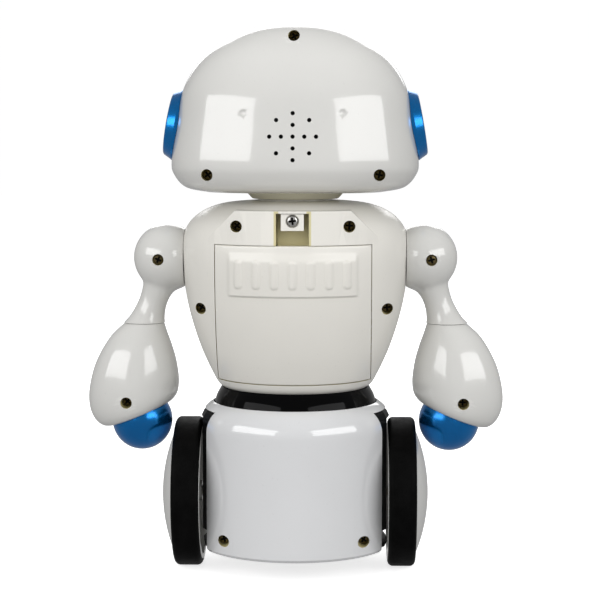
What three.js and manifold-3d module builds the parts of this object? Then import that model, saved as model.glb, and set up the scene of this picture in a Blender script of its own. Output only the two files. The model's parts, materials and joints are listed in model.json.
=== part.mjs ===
// A two-wheel toy robot: round base with a drive wheel on each side, a swivelling torso with a battery bay in
// its back, swinging arms with ball hands, and a turning head with a visor, a loudspeaker and disc-shaped ears.
// Millimetres, +Z up, the robot looks towards -Y, the origin is on the floor midway between the wheels.
// The robot's left is +X.
import * as THREE from "three";
import { mergeVertices } from "three/addons/utils/BufferGeometryUtils.js";
import Module from "manifold-3d";

const wasm = await Module();
wasm.setup();

// ---- Driving dimensions -------------------------------------------------------------------------------------
const GAP = 0.3; // clearance between neighbouring pieces
const WALL = 2; // moulded wall
const FAR = 100; // reach of a cutting tool past everything
const FLATNESS = 0.03; // faces flatter than this against each other are merged
const ROUND_SIDES = 24; // sides of a large round body
const INNER_SIDES = 16; // sides of the inside of a shell
const SMALL_SIDES = 10; // sides of a boss, bore or shaft
const SCREW = { head: 2.6, headHeight: 1.6, shank: 1.2, counterbore: 2.8, clear: 1.5, column: 4.1, length: 12 };

// Where each screw's axis and seat lie: [x, seat, z].
const HEAD_SCREWS = { top: [0, 13.5, 259.1], left: [40.3, 32, 193.7], right: [-40.3, 32, 193.7] };
const TORSO_SCREWS = { upper: [26.3, 38, 170.1], lower: [44.5, 18, 129.9] };
const BASE_SCREW = { x: 33.5, seat: 27, z: 18.7, column: 22 };

const HEAD = { bottom: 185, depth: 0.85, squareness: 2.5, collarHole: 24.7 };
const EAR = { x: 57.4, z: 217.2, tilt: 10, r: 17.2, faceR: 15.2, thick: 4.6, spigot: 5 };
const VISOR = { halfWidth: 44, z0: 201, z1: 243, corner: 15, inset: 0.6, thick: 1.8 };
const EYE = { x: 17, z: 221, r: 8.5, back: -40.5, bridge: [-43, -40.5], bridgeZ: [217, 223] };
const SPEAKER = { z: 211.6, r: 14, rim: 43.6, pitch: 5.4, hole: 1.0 };

const TORSO = { bottom: 89.8, flat: 53.8, neckHole: 14, lip: 18, lipTop: 181.2, floor: 34.5, floorHole: 25.6 };
const PAD = { r: 14, inner: 50.3 }; // the flat rounds in the torso's sides that the shoulders turn against
const POCKET = { halfWidth: 9.7, floor: 38.4 }; // the block that the cover's tongue lies in
const COVER = { halfWidth: 36.7, z0: 94.6, z1: 161.2, thick: 1.8, back: 9.3 };
const HOUSING = { r: 55.2, halfWidth: 39.6, z0: 149, top: 177.3, chamfer: 12.6 };
const TONGUE = { halfWidth: 7.3, blockHalfWidth: 5.3, floor: 41.5, thick: 1.8, blockZ: 168.4, top: 176, screwZ: 172.8 };
const COVER_SCREW = { seat: 52.4, counterbore: 3.1, length: 13 };
const PLAQUE = {
  halfWidth: 31, z0: 137, z1: 158.5, corner: 5, raise: 1, ribs: 7, ribRaise: 0.7, ribWidth: 3.2, margin: 4, ends: 6,
};
const CELL = { r: 7.2, halfLength: 25.2, pitch: 15, y: 21.6, z: 105.4, nub: 2.7 };
const BOX = { halfWidth: 32, wall: 1.5, mouth: 37, under: 1.3, over: 0.6 };
const BOARD = { x: [-25, 25], y: [-27, -25.4], z: [106, 160] };
const CHIPS = [
  [[-9, 9], [-25.5, -23.2], [138, 152]],
  [[-20, -12], [-25.5, -22], [112, 126]],
  [[6, 20], [-25.5, -19], [110, 122]],
];
const BUTTON = { z: 140, r: 7, front: 57.1, back: 46.2 };

const SHOULDER = {
  x: 62.7, z: 152.6, r: 16.3, stub: 7, flange: 9.4, shaft: [47.2, 56], screwX: 66, screwZ: 152.3, seat: 12.6,
};
const ELBOW = { x: 74.3, z: 120.5, stub: 6, flange: 8 };
const HAND = { x: 75.7, z: 72.3, r: 14.8, screwX: 81.6, screwZ: 82.9, seat: 10.5 };

const WHEEL = { r: 36.7, inner: 45.5, outer: 59, seat: 33.9, dome: 65.5, edge: 2.6 };
const BASE = { r: 48, bottom: 11, cornerR: 13.5, cornerZ: 14.5, cornerAt: 69, opening: 40.2, notchY: 22.5, notchTop: 78.9 };
const RING = { flange: 41, low: 39.7, lowZ: 82, high: 36.3, highZ: 89.4, neck: 25, snap: 27.3 };
// The floor plate and its side housings, as ranges of x from the middle outwards, y and z.
const CHASSIS = {
  floorR: 45.5, floorZ: [11.6, 13.8],
  slab: { x: [39.5, 42], y: [-22.1, 22.1], z: [11.6, 78.6] },
  cover: { x: [41.9, 44.8], y: [-21, 21], z: [21, 74.3] },
  fender: { x: [39.5, 60], y: [-22.1, 22.1], z: [74.7, 78.6] },
  inner: { x: [25.5, 27.5], y: [-32, 21], z: [13, 66] },
  post: { x: [29.8, 37.2], y: [12, BASE_SCREW.column - GAP], z: [13, 23.4] },
  axleHole: 2.4, motorHole: 3.4, idlerPin: 1.5,
};
const GEAR = { module: 1, output: 24, idlerSmall: 8, idlerBig: 21, pinion: 7 };
const IDLER_AXIS = [-13, 46.03]; // y and z of the idler pin
const MOTOR_AXIS = [-20, 58.15]; // y and z of the motor shaft
const MOTOR = { r: 10, halfHeight: 7.6, x: [0.6, 25.2], neckR: 3, neckX: [24, 26.9] };
const ROLLER = { r: 5.2, y: -34, halfWidth: 4.7, stub: 1.6 };
const WEIGHT = { halfWidth: 25, back: -16, r: 45.2, z0: 14.1, z1: 28 }; // keeps the robot leaning on its roller

// Outlines as [radius or half width, z], run through by a spline.
const HEAD_OUTLINE = [
  [43, 185], [53.2, 187.2], [58.8, 193.2], [60, 200], [57.6, 217], [54.2, 234.3], [45.4, 248.7], [31.8, 258.9],
  [16.5, 264.5], [0, 265.8],
];
const TORSO_OUTLINE = [
  [35.6, 89.8], [39, 93.5], [46.5, 109.7], [52.5, 129.9], [55.4, 151], [54.6, 164], [49.6, 172.4], [40, 178], [26, 180.4],
  [0, 181],
];
// The neck collar, as [radius, z]: the catch under the torso's lip, the neck, the flare and the rim inside the head.
const COLLAR_PROFILE = [
  [10, 176], [15.8, 176], [15.8, 178], [13.6, 178], [13.6, 181.5], [20.9, 181.5], [21.7, 182.2], [24.4, 185.3],
  [24.4, 187.3], [27, 187.3], [27, 189], [10, 189],
];
// Cross-sections of the arm, each [outer x, outer z, inner x, inner z, half depth].
const NECK_SECTIONS = [
  [73, 146, 55.5, 146, 9], [74.7, 138.8, 58.6, 137.6, 8.2], [76.4, 132.6, 61.6, 133.6, 7.4], [79, 127.4, 63.8, 128.6, 7.5],
  [82, 122.8, 64.6, 123.6, 8.7], [84, 120.9, 64.6, 120.9, 9.7],
];
const FOREARM_SECTIONS = [
  [84, 120.3, 64.6, 120.3, 9.7], [90.2, 114.6, 63.2, 115.8, 12.8], [95.3, 107, 61, 109.6, 15.6],
  [99.2, 98.6, 58.9, 102.2, 17.6], [101.5, 89.3, 57.7, 94.6, 19], [102, 82, 57.6, 90, 19.3],
  [100.8, 76, 58.3, 86, 19], [98.2, 71.6, 59.9, 83.2, 18], [95, 69.4, 61.6, 81.6, 16.4], [92.2, 69.2, 62.9, 81, 15.2],
];

// ---- Solids and booleans ------------------------------------------------------------------------------------
// A closed three.js geometry as a manifold solid that faces out.
function solid(geometry) {
  const bare = new THREE.BufferGeometry().setAttribute("position", geometry.getAttribute("position"));
  if (geometry.index) bare.setIndex(geometry.index);
  const merged = mergeVertices(bare, 1e-4);
  const corners = merged.index.array;
  const kept = [];
  for (let i = 0; i < corners.length; i += 3) {
    const [a, b, c] = corners.slice(i, i + 3);
    if (a !== b && b !== c && c !== a) kept.push(a, b, c);
  }
  const build = (triVerts) =>
    new wasm.Manifold(new wasm.Mesh({ numProp: 3, vertProperties: merged.attributes.position.array, triVerts }));
  const made = build(new Uint32Array(kept));
  return made.volume() > 0 ? made : build(new Uint32Array(kept.reverse()));
}

const join = (...solids) => solids.reduce((a, b) => a.add(b));
const cut = (body, ...tools) => tools.reduce((a, b) => a.subtract(b), body);
const common = (...solids) => solids.reduce((a, b) => a.intersect(b));

function block([x0, x1], [y0, y1], [z0, z1]) {
  const box = new THREE.BoxGeometry(x1 - x0, y1 - y0, z1 - z0);
  return solid(box.translate((x0 + x1) / 2, (y0 + y1) / 2, (z0 + z1) / 2));
}

// Turns a geometry built round +Y so that its axis runs along +X, +Y or +Z.
function along(axis, geometry) {
  if (axis === "x") return geometry.rotateZ(-Math.PI / 2);
  return axis === "z" ? geometry.rotateX(Math.PI / 2) : geometry;
}

// A round bar along an axis from one station to another; u and v are its other two coordinates in x, y, z order.
function rod(axis, radius, from, to, [u, v] = [0, 0], sides = SMALL_SIDES) {
  const bar = along(axis, new THREE.CylinderGeometry(radius, radius, to - from, sides));
  const middle = (from + to) / 2;
  const at = { x: [middle, u, v], y: [u, middle, v], z: [u, v, middle] }[axis];
  return solid(bar.translate(...at));
}

// A turned solid: profile points are [radius, station along the axis].
function turned(axis, profile, sides = ROUND_SIDES) {
  const points = profile.map(([r, s]) => new THREE.Vector2(r, s));
  return solid(along(axis, new THREE.LatheGeometry(points, sides)));
}

const closed = (profile) => [...profile, profile[0]];

function spline(points, steps) {
  return new THREE.SplineCurve(points.map((p) => new THREE.Vector2(...p))).getPoints(steps).map((p) => [p.x, p.y]);
}

// The outline moved inwards by a distance, measured square to the curve.
function inset(outline, distance) {
  return outline.map(([r, z], i) => {
    const [r0, z0] = outline[Math.max(i - 1, 0)];
    const [r1, z1] = outline[Math.min(i + 1, outline.length - 1)];
    const length = Math.hypot(r1 - r0, z1 - z0);
    return [Math.max(0, r - (distance * (z1 - z0)) / length), z + (distance * (r1 - r0)) / length];
  });
}

// A closed skin through rings of points, with flat ends.
function skin(rings) {
  const sides = rings[0].length;
  const positions = rings.flat().flatMap((p) => [p.x, p.y, p.z]);
  const ends = [rings[0], rings.at(-1)].map((ring) =>
    ring.reduce((sum, p) => sum.add(p), new THREE.Vector3()).divideScalar(sides),
  );
  positions.push(...ends[0].toArray(), ...ends[1].toArray());
  const [first, last] = [rings.length * sides, rings.length * sides + 1];
  const index = [];
  for (let i = 0; i < sides; i++) {
    const next = (i + 1) % sides;
    for (let k = 0; k < rings.length - 1; k++) {
      const [a, b] = [k * sides, (k + 1) * sides];
      index.push(a + i, a + next, b + next, a + i, b + next, b + i);
    }
    const top = (rings.length - 1) * sides;
    index.push(first, next, i, last, top + i, top + next);
  }
  const geometry = new THREE.BufferGeometry().setIndex(index);
  return solid(geometry.setAttribute("position", new THREE.Float32BufferAttribute(positions, 3)));
}

// A level ring of the head: a superellipse, wider than it is deep.
function headRing([halfWidth, z], sides) {
  const power = 2 / HEAD.squareness;
  return Array.from({ length: sides }, (_, i) => {
    const t = (2 * Math.PI * i) / sides;
    const [c, s] = [Math.cos(t), Math.sin(t)];
    const x = halfWidth * Math.sign(c) * Math.abs(c) ** power;
    return new THREE.Vector3(x, halfWidth * HEAD.depth * Math.sign(s) * Math.abs(s) ** power, z);
  });
}

// A cross-section of the arm: an ellipse from its outer to its inner point, shrunk by a wall.
function armRing([outerX, outerZ, innerX, innerZ, halfDepth], wall = 0, sides = 12) {
  const centre = new THREE.Vector3((outerX + innerX) / 2, 0, (outerZ + innerZ) / 2);
  const reach = new THREE.Vector3(outerX, 0, outerZ).sub(centre);
  reach.setLength(reach.length() - wall);
  return Array.from({ length: sides }, (_, i) => {
    const t = (2 * Math.PI * i) / sides;
    const point = centre.clone().addScaledVector(reach, Math.cos(t));
    return point.setY((halfDepth - wall) * Math.sin(t));
  });
}

const rear = block([-FAR * 2, FAR * 2], [GAP / 2, FAR * 2], [-FAR, FAR * 3]);
const front = block([-FAR * 2, FAR * 2], [-FAR * 2, -GAP / 2], [-FAR, FAR * 3]);

// ---- Nodes --------------------------------------------------------------------------------------------------
const COLOURS = {
  white: [0xf0efea, 0.18, 0], cream: [0xeceadf, 0.28, 0], black: [0x0b0b0c, 0.2, 0], rubber: [0x0a0a0a, 0.75, 0],
  blue: [0x1173c8, 0.3, 0.75], steel: [0xb9bbbd, 0.35, 1], grey: [0x8c8f92, 0.5, 0.2], green: [0x1f6b3a, 0.6, 0],
  glow: [0x37b8ff, 0.15, 0], copper: [0xc77a36, 0.4, 0.8],
};
const materials = Object.fromEntries(
  Object.entries(COLOURS).map(([name, [color, roughness, metalness]]) => [
    name,
    new THREE.MeshStandardMaterial({ name, color, roughness, metalness }),
  ]),
);

function node(name, body, material) {
  const { numProp, vertProperties, triVerts } = body.simplify(FLATNESS).getMesh();
  const positions = new Float32Array((vertProperties.length / numProp) * 3);
  for (let i = 0; i * numProp < vertProperties.length; i++)
    positions.set(vertProperties.subarray(i * numProp, i * numProp + 3), i * 3);
  const geometry = new THREE.BufferGeometry().setIndex(new THREE.BufferAttribute(triVerts, 1));
  geometry.setAttribute("position", new THREE.BufferAttribute(positions, 3));
  const mesh = new THREE.Mesh(geometry, materials[material]);
  mesh.name = name;
  return mesh;
}

// ---- Fasteners ----------------------------------------------------------------------------------------------
// A self-tapping screw along Y, driven from the back: its head rests on the plane y = seat.
function screw(x, seat, z, length = SCREW.length) {
  const { head, headHeight, shank } = SCREW;
  const profile = [[0, -length], [shank, 1 - length], [shank, 0], [head, 0], [head, headHeight], [0, headHeight + 0.4]];
  const body = turned("y", profile, 8);
  return body.translate([x, seat + GAP / 3, z]);
}

// Two halves held by one screw: a column in each, counterbored from the back down to the seat.
function screwTogether(rearHalf, frontHalf, outside, x, seat, z, reach = FAR) {
  const column = rod("y", SCREW.column, -reach, FAR, [x, z], 8);
  const whole = common(column, outside);
  const bore = join(
    rod("y", SCREW.counterbore, seat, FAR, [x, z], 10),
    rod("y", SCREW.clear, seat - SCREW.length - 1, seat + 1, [x, z], 6),
  );
  return [cut(join(rearHalf, common(whole, rear)), bore), cut(join(frontHalf, common(whole, front)), bore)];
}

// ---- Head ---------------------------------------------------------------------------------------------------
function roundedPanel(halfWidth, z0, z1, corner, y0, y1) {
  const shape = new THREE.Shape();
  shape.absarc(halfWidth - corner, z1 - corner, corner, 0, Math.PI / 2);
  shape.absarc(corner - halfWidth, z1 - corner, corner, Math.PI / 2, Math.PI);
  shape.absarc(corner - halfWidth, z0 + corner, corner, Math.PI, 1.5 * Math.PI);
  shape.absarc(halfWidth - corner, z0 + corner, corner, 1.5 * Math.PI, 2 * Math.PI);
  const panel = new THREE.ExtrudeGeometry(shape, { depth: y1 - y0, bevelEnabled: false, curveSegments: 5 });
  return solid(panel.rotateX(Math.PI / 2).translate(0, y1, 0));
}

// Places a solid built round the origin, axis +X, on the tilted ear axis.
function onEarAxis(body) {
  return body.rotate([0, -EAR.tilt, 0]).translate([EAR.x, 0, EAR.z]);
}

function earCap() {
  const { r, faceR, thick, spigot } = EAR;
  const profile = [
    [0, -6], [spigot, -6], [spigot, 0], [r, 0], [faceR, thick - 0.8], [faceR - 1, thick], [faceR - 3, thick],
    [faceR - 3.6, thick - 0.6], [0, thick - 0.2],
  ];
  return onEarAxis(turned("x", profile, 20));
}

function headShells() {
  const shape = (depth) => {
    const [steps, sides] = depth < WALL ? [9, ROUND_SIDES] : [5, INNER_SIDES];
    return skin(inset(spline(HEAD_OUTLINE, steps), depth).map((point) => headRing(point, sides)));
  };
  const outside = shape(0);
  const inside = shape(WALL);
  const seat = onEarAxis(join(rod("x", EAR.r + 1, -GAP, 20, [0, 0], 20), rod("x", EAR.spigot + GAP, -12, 1)));
  const seatRight = seat.mirror([1, 0, 0]);
  const collar = rod("z", HEAD.collarHole, 150, HEAD.bottom + 5, [0, 0], 20);
  const whole = cut(outside, inside, seat, seatRight, collar);
  const opening = roundedPanel(VISOR.halfWidth, VISOR.z0, VISOR.z1, VISOR.corner, -FAR, -5);
  const halves = Object.values(HEAD_SCREWS).reduce(([back, face], at) => screwTogether(back, face, outside, ...at), [
    common(whole, rear),
    cut(common(whole, front), opening),
  ]);
  const visorCut = roundedPanel(VISOR.halfWidth - GAP, VISOR.z0 + GAP, VISOR.z1 - GAP, VISOR.corner, -FAR, -5);
  const eyes = [-EYE.x, EYE.x].map((x) => rod("y", EYE.r, -FAR, 0, [x, EYE.z], 20));
  const visorSkin = cut(shape(VISOR.inset), shape(VISOR.inset + VISOR.thick));
  const visor = cut(common(visorSkin, visorCut), ...eyes);
  const lenses = [-EYE.x, EYE.x].map((x) => rod("y", EYE.r - GAP, -FAR, EYE.back, [x, EYE.z], 20));
  const bridge = block([-EYE.x, EYE.x], EYE.bridge, EYE.bridgeZ);
  return { halves, visor, lens: join(common(join(...lenses), shape(VISOR.inset / 2)), bridge) };
}

function speakerHoles() {
  const rings = [0, 1, 1, 1, 1, 2, 2, 2, 2, 2, 2, 2, 2];
  return rings.map((ring, i) => {
    const turn = ring === 1 ? (i - 1) / 4 : (i - 5) / 8;
    const [u, v] = [Math.cos(2 * Math.PI * turn), Math.sin(2 * Math.PI * turn)];
    return rod("y", SPEAKER.hole, 20, FAR, [u * ring * SPEAKER.pitch, SPEAKER.z + v * ring * SPEAKER.pitch], 6);
  });
}

function speaker() {
  const { r, rim, z } = SPEAKER;
  const profile = [
    [0, rim - 13], [8, rim - 13], [8, rim - 7], [r - 3, rim - 2], [r, rim - 2], [r, rim], [r - 2, rim], [4, rim - 4],
    [0, rim - 3.4],
  ];
  return turned("y", profile, 20).translate([0, 0, z]);
}

function neckCollar() {
  return turned("z", closed(COLLAR_PROFILE), 20);
}

function buildHead() {
  const group = new THREE.Group();
  const { halves, visor, lens } = headShells();
  const cap = earCap();
  group.add(
    node("head_rear_shell", cut(halves[0], ...speakerHoles()), "white"),
    node("head_front_shell", halves[1], "white"),
    node("face_visor", visor, "black"),
    node("eye_lenses", lens, "glow"),
    node("ear_cap_left", cap, "blue"),
    node("ear_cap_right", cap.mirror([1, 0, 0]), "blue"),
    node("speaker", speaker(), "grey"),
    node("neck_collar", neckCollar(), "cream"),
  );
  for (const [place, at] of Object.entries(HEAD_SCREWS)) group.add(node(`head_screw_${place}`, screw(...at), "steel"));
  return group;
}

// ---- Torso --------------------------------------------------------------------------------------------------
// The battery housing: round like the torso it stands out of, but upright to a flat top with slanted corners.
function housing(depth) {
  const { r, halfWidth, z0, top, chamfer } = HOUSING;
  const [w, high] = [halfWidth - depth, top - depth];
  const corners = [[-w, z0], [w, z0], [w, high - chamfer], [w - chamfer, high], [chamfer - w, high], [-w, high - chamfer]];
  const face = new THREE.Shape(corners.map((corner) => new THREE.Vector2(...corner)));
  const prism = new THREE.ExtrudeGeometry(face, { depth: FAR, bevelEnabled: false });
  const round = rod("z", r - depth, z0 - 1, FAR * 2, [0, 0], ROUND_SIDES * 2);
  return common(solid(prism.rotateX(Math.PI / 2).translate(0, FAR + 20, 0)), round);
}

// The torso's round body with its outline moved inwards, or outwards where depth is negative.
function torsoBody(depth) {
  const [steps, sides] = depth < WALL ? [8, ROUND_SIDES] : [5, INNER_SIDES];
  const outline = inset(spline(TORSO_OUTLINE, steps), depth);
  return turned("z", [[0, outline[0][1]], ...outline, [0, outline.at(-1)[1]]], sides);
}

const torsoSolid = (depth) => join(torsoBody(depth), housing(depth));

function torsoShells() {
  const flats = block([-TORSO.flat, TORSO.flat], [-FAR, FAR], [0, FAR * 3]);
  const outside = common(torsoSolid(0), flats);
  const floor = rod("z", TORSO.floor, TORSO.bottom, TORSO.bottom + WALL, [0, 0], ROUND_SIDES);
  const lip = rod("z", TORSO.lip, 175, TORSO.lipTop, [0, 0], 20);
  const pads = common(rod("x", PAD.r, -TORSO.flat, TORSO.flat, [0, SHOULDER.z], 20), outside);
  const padsHollow = block([-PAD.inner, PAD.inner], [-FAR, FAR], [0, FAR * 3]);
  const whole = cut(
    join(cut(outside, torsoSolid(WALL)), floor, lip, cut(pads, padsHollow)),
    rod("z", TORSO.neckHole, 150, 200, [0, 0], 20),
    rod("z", TORSO.floorHole, 80, 100, [0, 0], 20),
    cut(rod("z", 24, 150, 178.7, [0, 0], 20), rod("z", 0.5, 150, 178.7)),
    rod("x", SHOULDER.stub + 0.4, -FAR, FAR, [0, SHOULDER.z], 20),
  );
  let halves = [common(whole, rear), common(whole, front)];
  for (const [x, seat, z] of Object.values(TORSO_SCREWS))
    for (const side of [1, -1]) halves = screwTogether(...halves, outside, side * x, seat, z);
  const { halfWidth, floor: depth, top } = TONGUE;
  const channel = block([-halfWidth - GAP, halfWidth + GAP], [depth - GAP, FAR], [COVER.z1 - 3, top + GAP]);
  const across = [-POCKET.halfWidth, POCKET.halfWidth];
  const pocket = common(block(across, [POCKET.floor, FAR], [COVER.z1 + GAP, HOUSING.top]), outside);
  const bay = block([-COVER.halfWidth - GAP, COVER.halfWidth + GAP], [9, FAR], [COVER.z0 - GAP, COVER.z1 + GAP]);
  const screwHole = rod("y", SCREW.clear, 30, FAR, [0, TONGUE.screwZ], 8);
  const button = rod("y", BUTTON.r + 0.4, -FAR, 0, [0, BUTTON.z], 20);
  return [cut(join(halves[0], pocket), channel, bay, screwHole), cut(halves[1], button)];
}

function batteryCover() {
  const { halfWidth, z0, z1, thick, back } = COVER;
  const shellOf = (outer, inner) => cut(torsoSolid(outer), torsoSolid(inner));
  const plate = common(shellOf(0, thick), block([-halfWidth, halfWidth], [back, FAR], [z0, z1]));
  const plaque = common(
    shellOf(-PLAQUE.raise, thick / 2),
    roundedPanel(PLAQUE.halfWidth, PLAQUE.z0, PLAQUE.z1, PLAQUE.corner, back, FAR),
  );
  const pitch = (2 * (PLAQUE.halfWidth - PLAQUE.ends)) / (PLAQUE.ribs - 1);
  const ribs = Array.from({ length: PLAQUE.ribs }, (_, i) => {
    const x = (i - (PLAQUE.ribs - 1) / 2) * pitch;
    const height = [PLAQUE.z0 + PLAQUE.margin, PLAQUE.z1 - PLAQUE.margin];
    const bar = block([x - PLAQUE.ribWidth / 2, x + PLAQUE.ribWidth / 2], [back, FAR], height);
    return common(shellOf(-PLAQUE.raise - PLAQUE.ribRaise, thick / 2), bar);
  });
  const { halfWidth: w, blockHalfWidth, floor, thick: plateThick, blockZ, top } = TONGUE;
  const web = common(block([-w, w], [floor, FAR], [z1 - 2, z1]), torsoSolid(thick / 2));
  const tongue = block([-w, w], [floor, floor + plateThick], [z1 - 2, top]);
  const head = common(block([-blockHalfWidth, blockHalfWidth], [floor, FAR], [blockZ, top]), torsoSolid(0.4));
  const bore = join(
    rod("y", SCREW.clear, 30, FAR, [0, TONGUE.screwZ], 8),
    rod("y", COVER_SCREW.counterbore, COVER_SCREW.seat, FAR, [0, TONGUE.screwZ], 12),
  );
  return cut(join(plate, plaque, ...ribs, web, tongue, head), bore);
}

// The tray that holds four cells lying across the robot, one above another.
function batteryBox() {
  const { r, pitch, y, z } = CELL;
  const { halfWidth, wall, mouth, under, over } = BOX;
  const bottom = y - r - GAP;
  const [low, high] = [z - r - GAP, z + 3 * pitch + r + GAP];
  const outer = block([-halfWidth, halfWidth], [bottom - wall, mouth], [low - under, high + over]);
  const inner = block([wall - halfWidth, halfWidth - wall], [bottom, FAR], [low, high]);
  return common(cut(outer, inner), torsoBody(WALL + 0.4));
}

function batteryCell(index) {
  const { r, halfLength, y, z, pitch, nub } = CELL;
  const profile = [
    [0, -halfLength], [r, -halfLength], [r, halfLength - 1.2], [nub, halfLength - 1.2], [nub, halfLength], [0, halfLength],
  ];
  const turn = index % 2 ? 180 : 0; // neighbouring cells point opposite ways
  return turned("x", profile, 16).rotate([0, 0, turn]).translate([0, y, z + index * pitch]);
}

function mainBoard() {
  return join(block(BOARD.x, BOARD.y, BOARD.z), ...CHIPS.map((size) => block(...size)));
}

function powerButton() {
  const { r, front: tip, back, z } = BUTTON;
  const flange = [[0, -back], [r + 1.6, -back], [r + 1.6, -back - 1.6], [r, -back - 1.6]];
  const profile = [...flange, [r, 0.8 - tip], [r - 1, -tip], [0, -tip]];
  return turned("y", profile.reverse(), 20).translate([0, 0, z]);
}

function buildTorso() {
  const group = new THREE.Group();
  const [rearShell, frontShell] = torsoShells();
  group.add(
    node("torso_rear_shell", rearShell, "cream"),
    node("torso_front_shell", frontShell, "cream"),
    node("battery_cover", batteryCover(), "cream"),
    node("battery_cover_screw", screw(0, COVER_SCREW.seat, TONGUE.screwZ, COVER_SCREW.length), "steel"),
    node("battery_box", batteryBox(), "cream"),
    node("main_board", mainBoard(), "green"),
    node("power_button", powerButton(), "blue"),
  );
  for (let i = 0; i < 4; i++) group.add(node(`battery_cell_${i + 1}`, batteryCell(i), "copper"));
  for (const [level, [x, seat, z]] of Object.entries(TORSO_SCREWS))
    for (const [side, sign] of [["left", 1], ["right", -1]])
      group.add(node(`torso_screw_${level}_${side}`, screw(sign * x, seat, z), "steel"));
  return group;
}

// ---- Arms, modelled on the robot's left ---------------------------------------------------------------------
function upperArmHalves() {
  const { x, z, r, stub, flange } = SHOULDER;
  const ball = (radius) => solid(new THREE.SphereGeometry(radius, 16, 8).rotateX(Math.PI / 2).translate(x, 0, z));
  const inwards = block([TORSO.flat + GAP, FAR * 2], [-FAR, FAR], [0, FAR * 3]);
  const outside = common(join(ball(r), skin(NECK_SECTIONS.map((s) => armRing(s)))), inwards);
  const hollow = common(ball(r - WALL), block([TORSO.flat + GAP + WALL, FAR * 2], [-FAR, FAR], [z - 11, FAR * 3]));
  const shaft = join(rod("x", stub, ...SHOULDER.shaft, [0, z]), rod("x", flange, SHOULDER.shaft[0], 50, [0, z]));
  const { stub: elbowStub, flange: elbowFlange, x: elbowX, z: elbowZ } = ELBOW;
  const pivot = join(
    rod("z", elbowStub, elbowZ - 6.6, elbowZ + 1, [elbowX, 0]),
    rod("z", elbowFlange, elbowZ - 6.6, elbowZ - 3.6, [elbowX, 0]),
  );
  const whole = join(cut(outside, hollow), shaft, pivot);
  return screwTogether(common(whole, rear), common(whole, front), outside, SHOULDER.screwX, SHOULDER.seat, SHOULDER.screwZ);
}

function forearmHalves() {
  const outside = skin(FOREARM_SECTIONS.map((s) => armRing(s)));
  const { x, z } = HAND;
  const last = FOREARM_SECTIONS.at(-1);
  const down = [last[0] - 2, last[1] - 5, last[2] - 2, last[3] - 5, last[4]];
  const inside = skin([
    ...FOREARM_SECTIONS.slice(1, -2).map((s) => armRing(s, WALL)), armRing(last), armRing(down),
  ]);
  const neck = rod("z", ELBOW.flange + 0.5, ELBOW.z - 7.4, ELBOW.z - 3.2, [ELBOW.x, 0]);
  const mouth = rod("z", ELBOW.stub + 0.4, ELBOW.z - 8, ELBOW.z + 2, [ELBOW.x, 0]);
  const whole = cut(outside, inside, neck, mouth);
  const columnLimit = common(outside, block([x - FAR, x + FAR], [-FAR, FAR], [z + 5, FAR * 3]));
  return screwTogether(common(whole, rear), common(whole, front), columnLimit, HAND.screwX, HAND.seat, HAND.screwZ);
}

// The ball hand, with the hole that the forearm's screw column passes through.
function handBall() {
  const ball = solid(new THREE.SphereGeometry(HAND.r, 16, 10).rotateX(Math.PI / 2).translate(HAND.x, 0, HAND.z));
  return cut(ball, rod("y", SCREW.column + GAP, -FAR, FAR, [HAND.screwX, HAND.screwZ], 12));
}

function buildArm(side) {
  const group = new THREE.Group();
  const [upperRear, upperFront] = upperArmHalves();
  const [lowerRear, lowerFront] = forearmHalves();
  group.add(
    node(`upper_arm_rear_${side}`, upperRear, "white"),
    node(`upper_arm_front_${side}`, upperFront, "white"),
    node(`shoulder_screw_${side}`, screw(SHOULDER.screwX, SHOULDER.seat, SHOULDER.screwZ), "steel"),
    node(`forearm_rear_${side}`, lowerRear, "white"),
    node(`forearm_front_${side}`, lowerFront, "white"),
    node(`forearm_screw_${side}`, screw(HAND.screwX, HAND.seat, HAND.screwZ), "steel"),
    node(`hand_ball_${side}`, handBall(), "blue"),
  );
  return group;
}

// ---- Base ---------------------------------------------------------------------------------------------------
// The dome over the wheels, moved inwards by a depth, as a solid down to a level z.
function baseBody(depth, bottom = BASE.bottom) {
  const { r, cornerR, cornerZ, cornerAt } = BASE;
  const steps = 5;
  const corner = Array.from({ length: steps + 1 }, (_, i) => {
    const t = (Math.PI / 2) * (i / steps);
    return [r - cornerR + (cornerR - depth) * Math.cos(t), cornerAt + (cornerZ - depth) * Math.sin(t)];
  });
  const foot = [[0, bottom], [r - 1.2 - depth, bottom], [r - depth, bottom + 1.4]];
  return turned("z", [...foot, ...corner, [0, corner.at(-1)[1]]]);
}

function baseShells() {
  const notch = block([-FAR, FAR], [-BASE.notchY, BASE.notchY], [0, BASE.notchTop]);
  const whole = cut(baseBody(0), baseBody(WALL, 0), rod("z", BASE.opening, 60, FAR, [0, 0], ROUND_SIDES));
  const sides = cut(notch, block([-30, 30], [-FAR, FAR], [0, FAR]));
  const open = cut(whole, sides);
  const { x, seat, z, column } = BASE_SCREW;
  let back = common(open, rear);
  for (const at of [[x, z], [-x, z]]) {
    const boss = common(rod("y", SCREW.column, column, FAR, at, 12), baseBody(0));
    const bore = join(rod("y", SCREW.counterbore, seat, FAR, at, 12), rod("y", SCREW.clear, 10, seat + 1, at, 8));
    back = cut(join(back, boss), bore);
  }
  return [back, common(open, front)];
}

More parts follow.
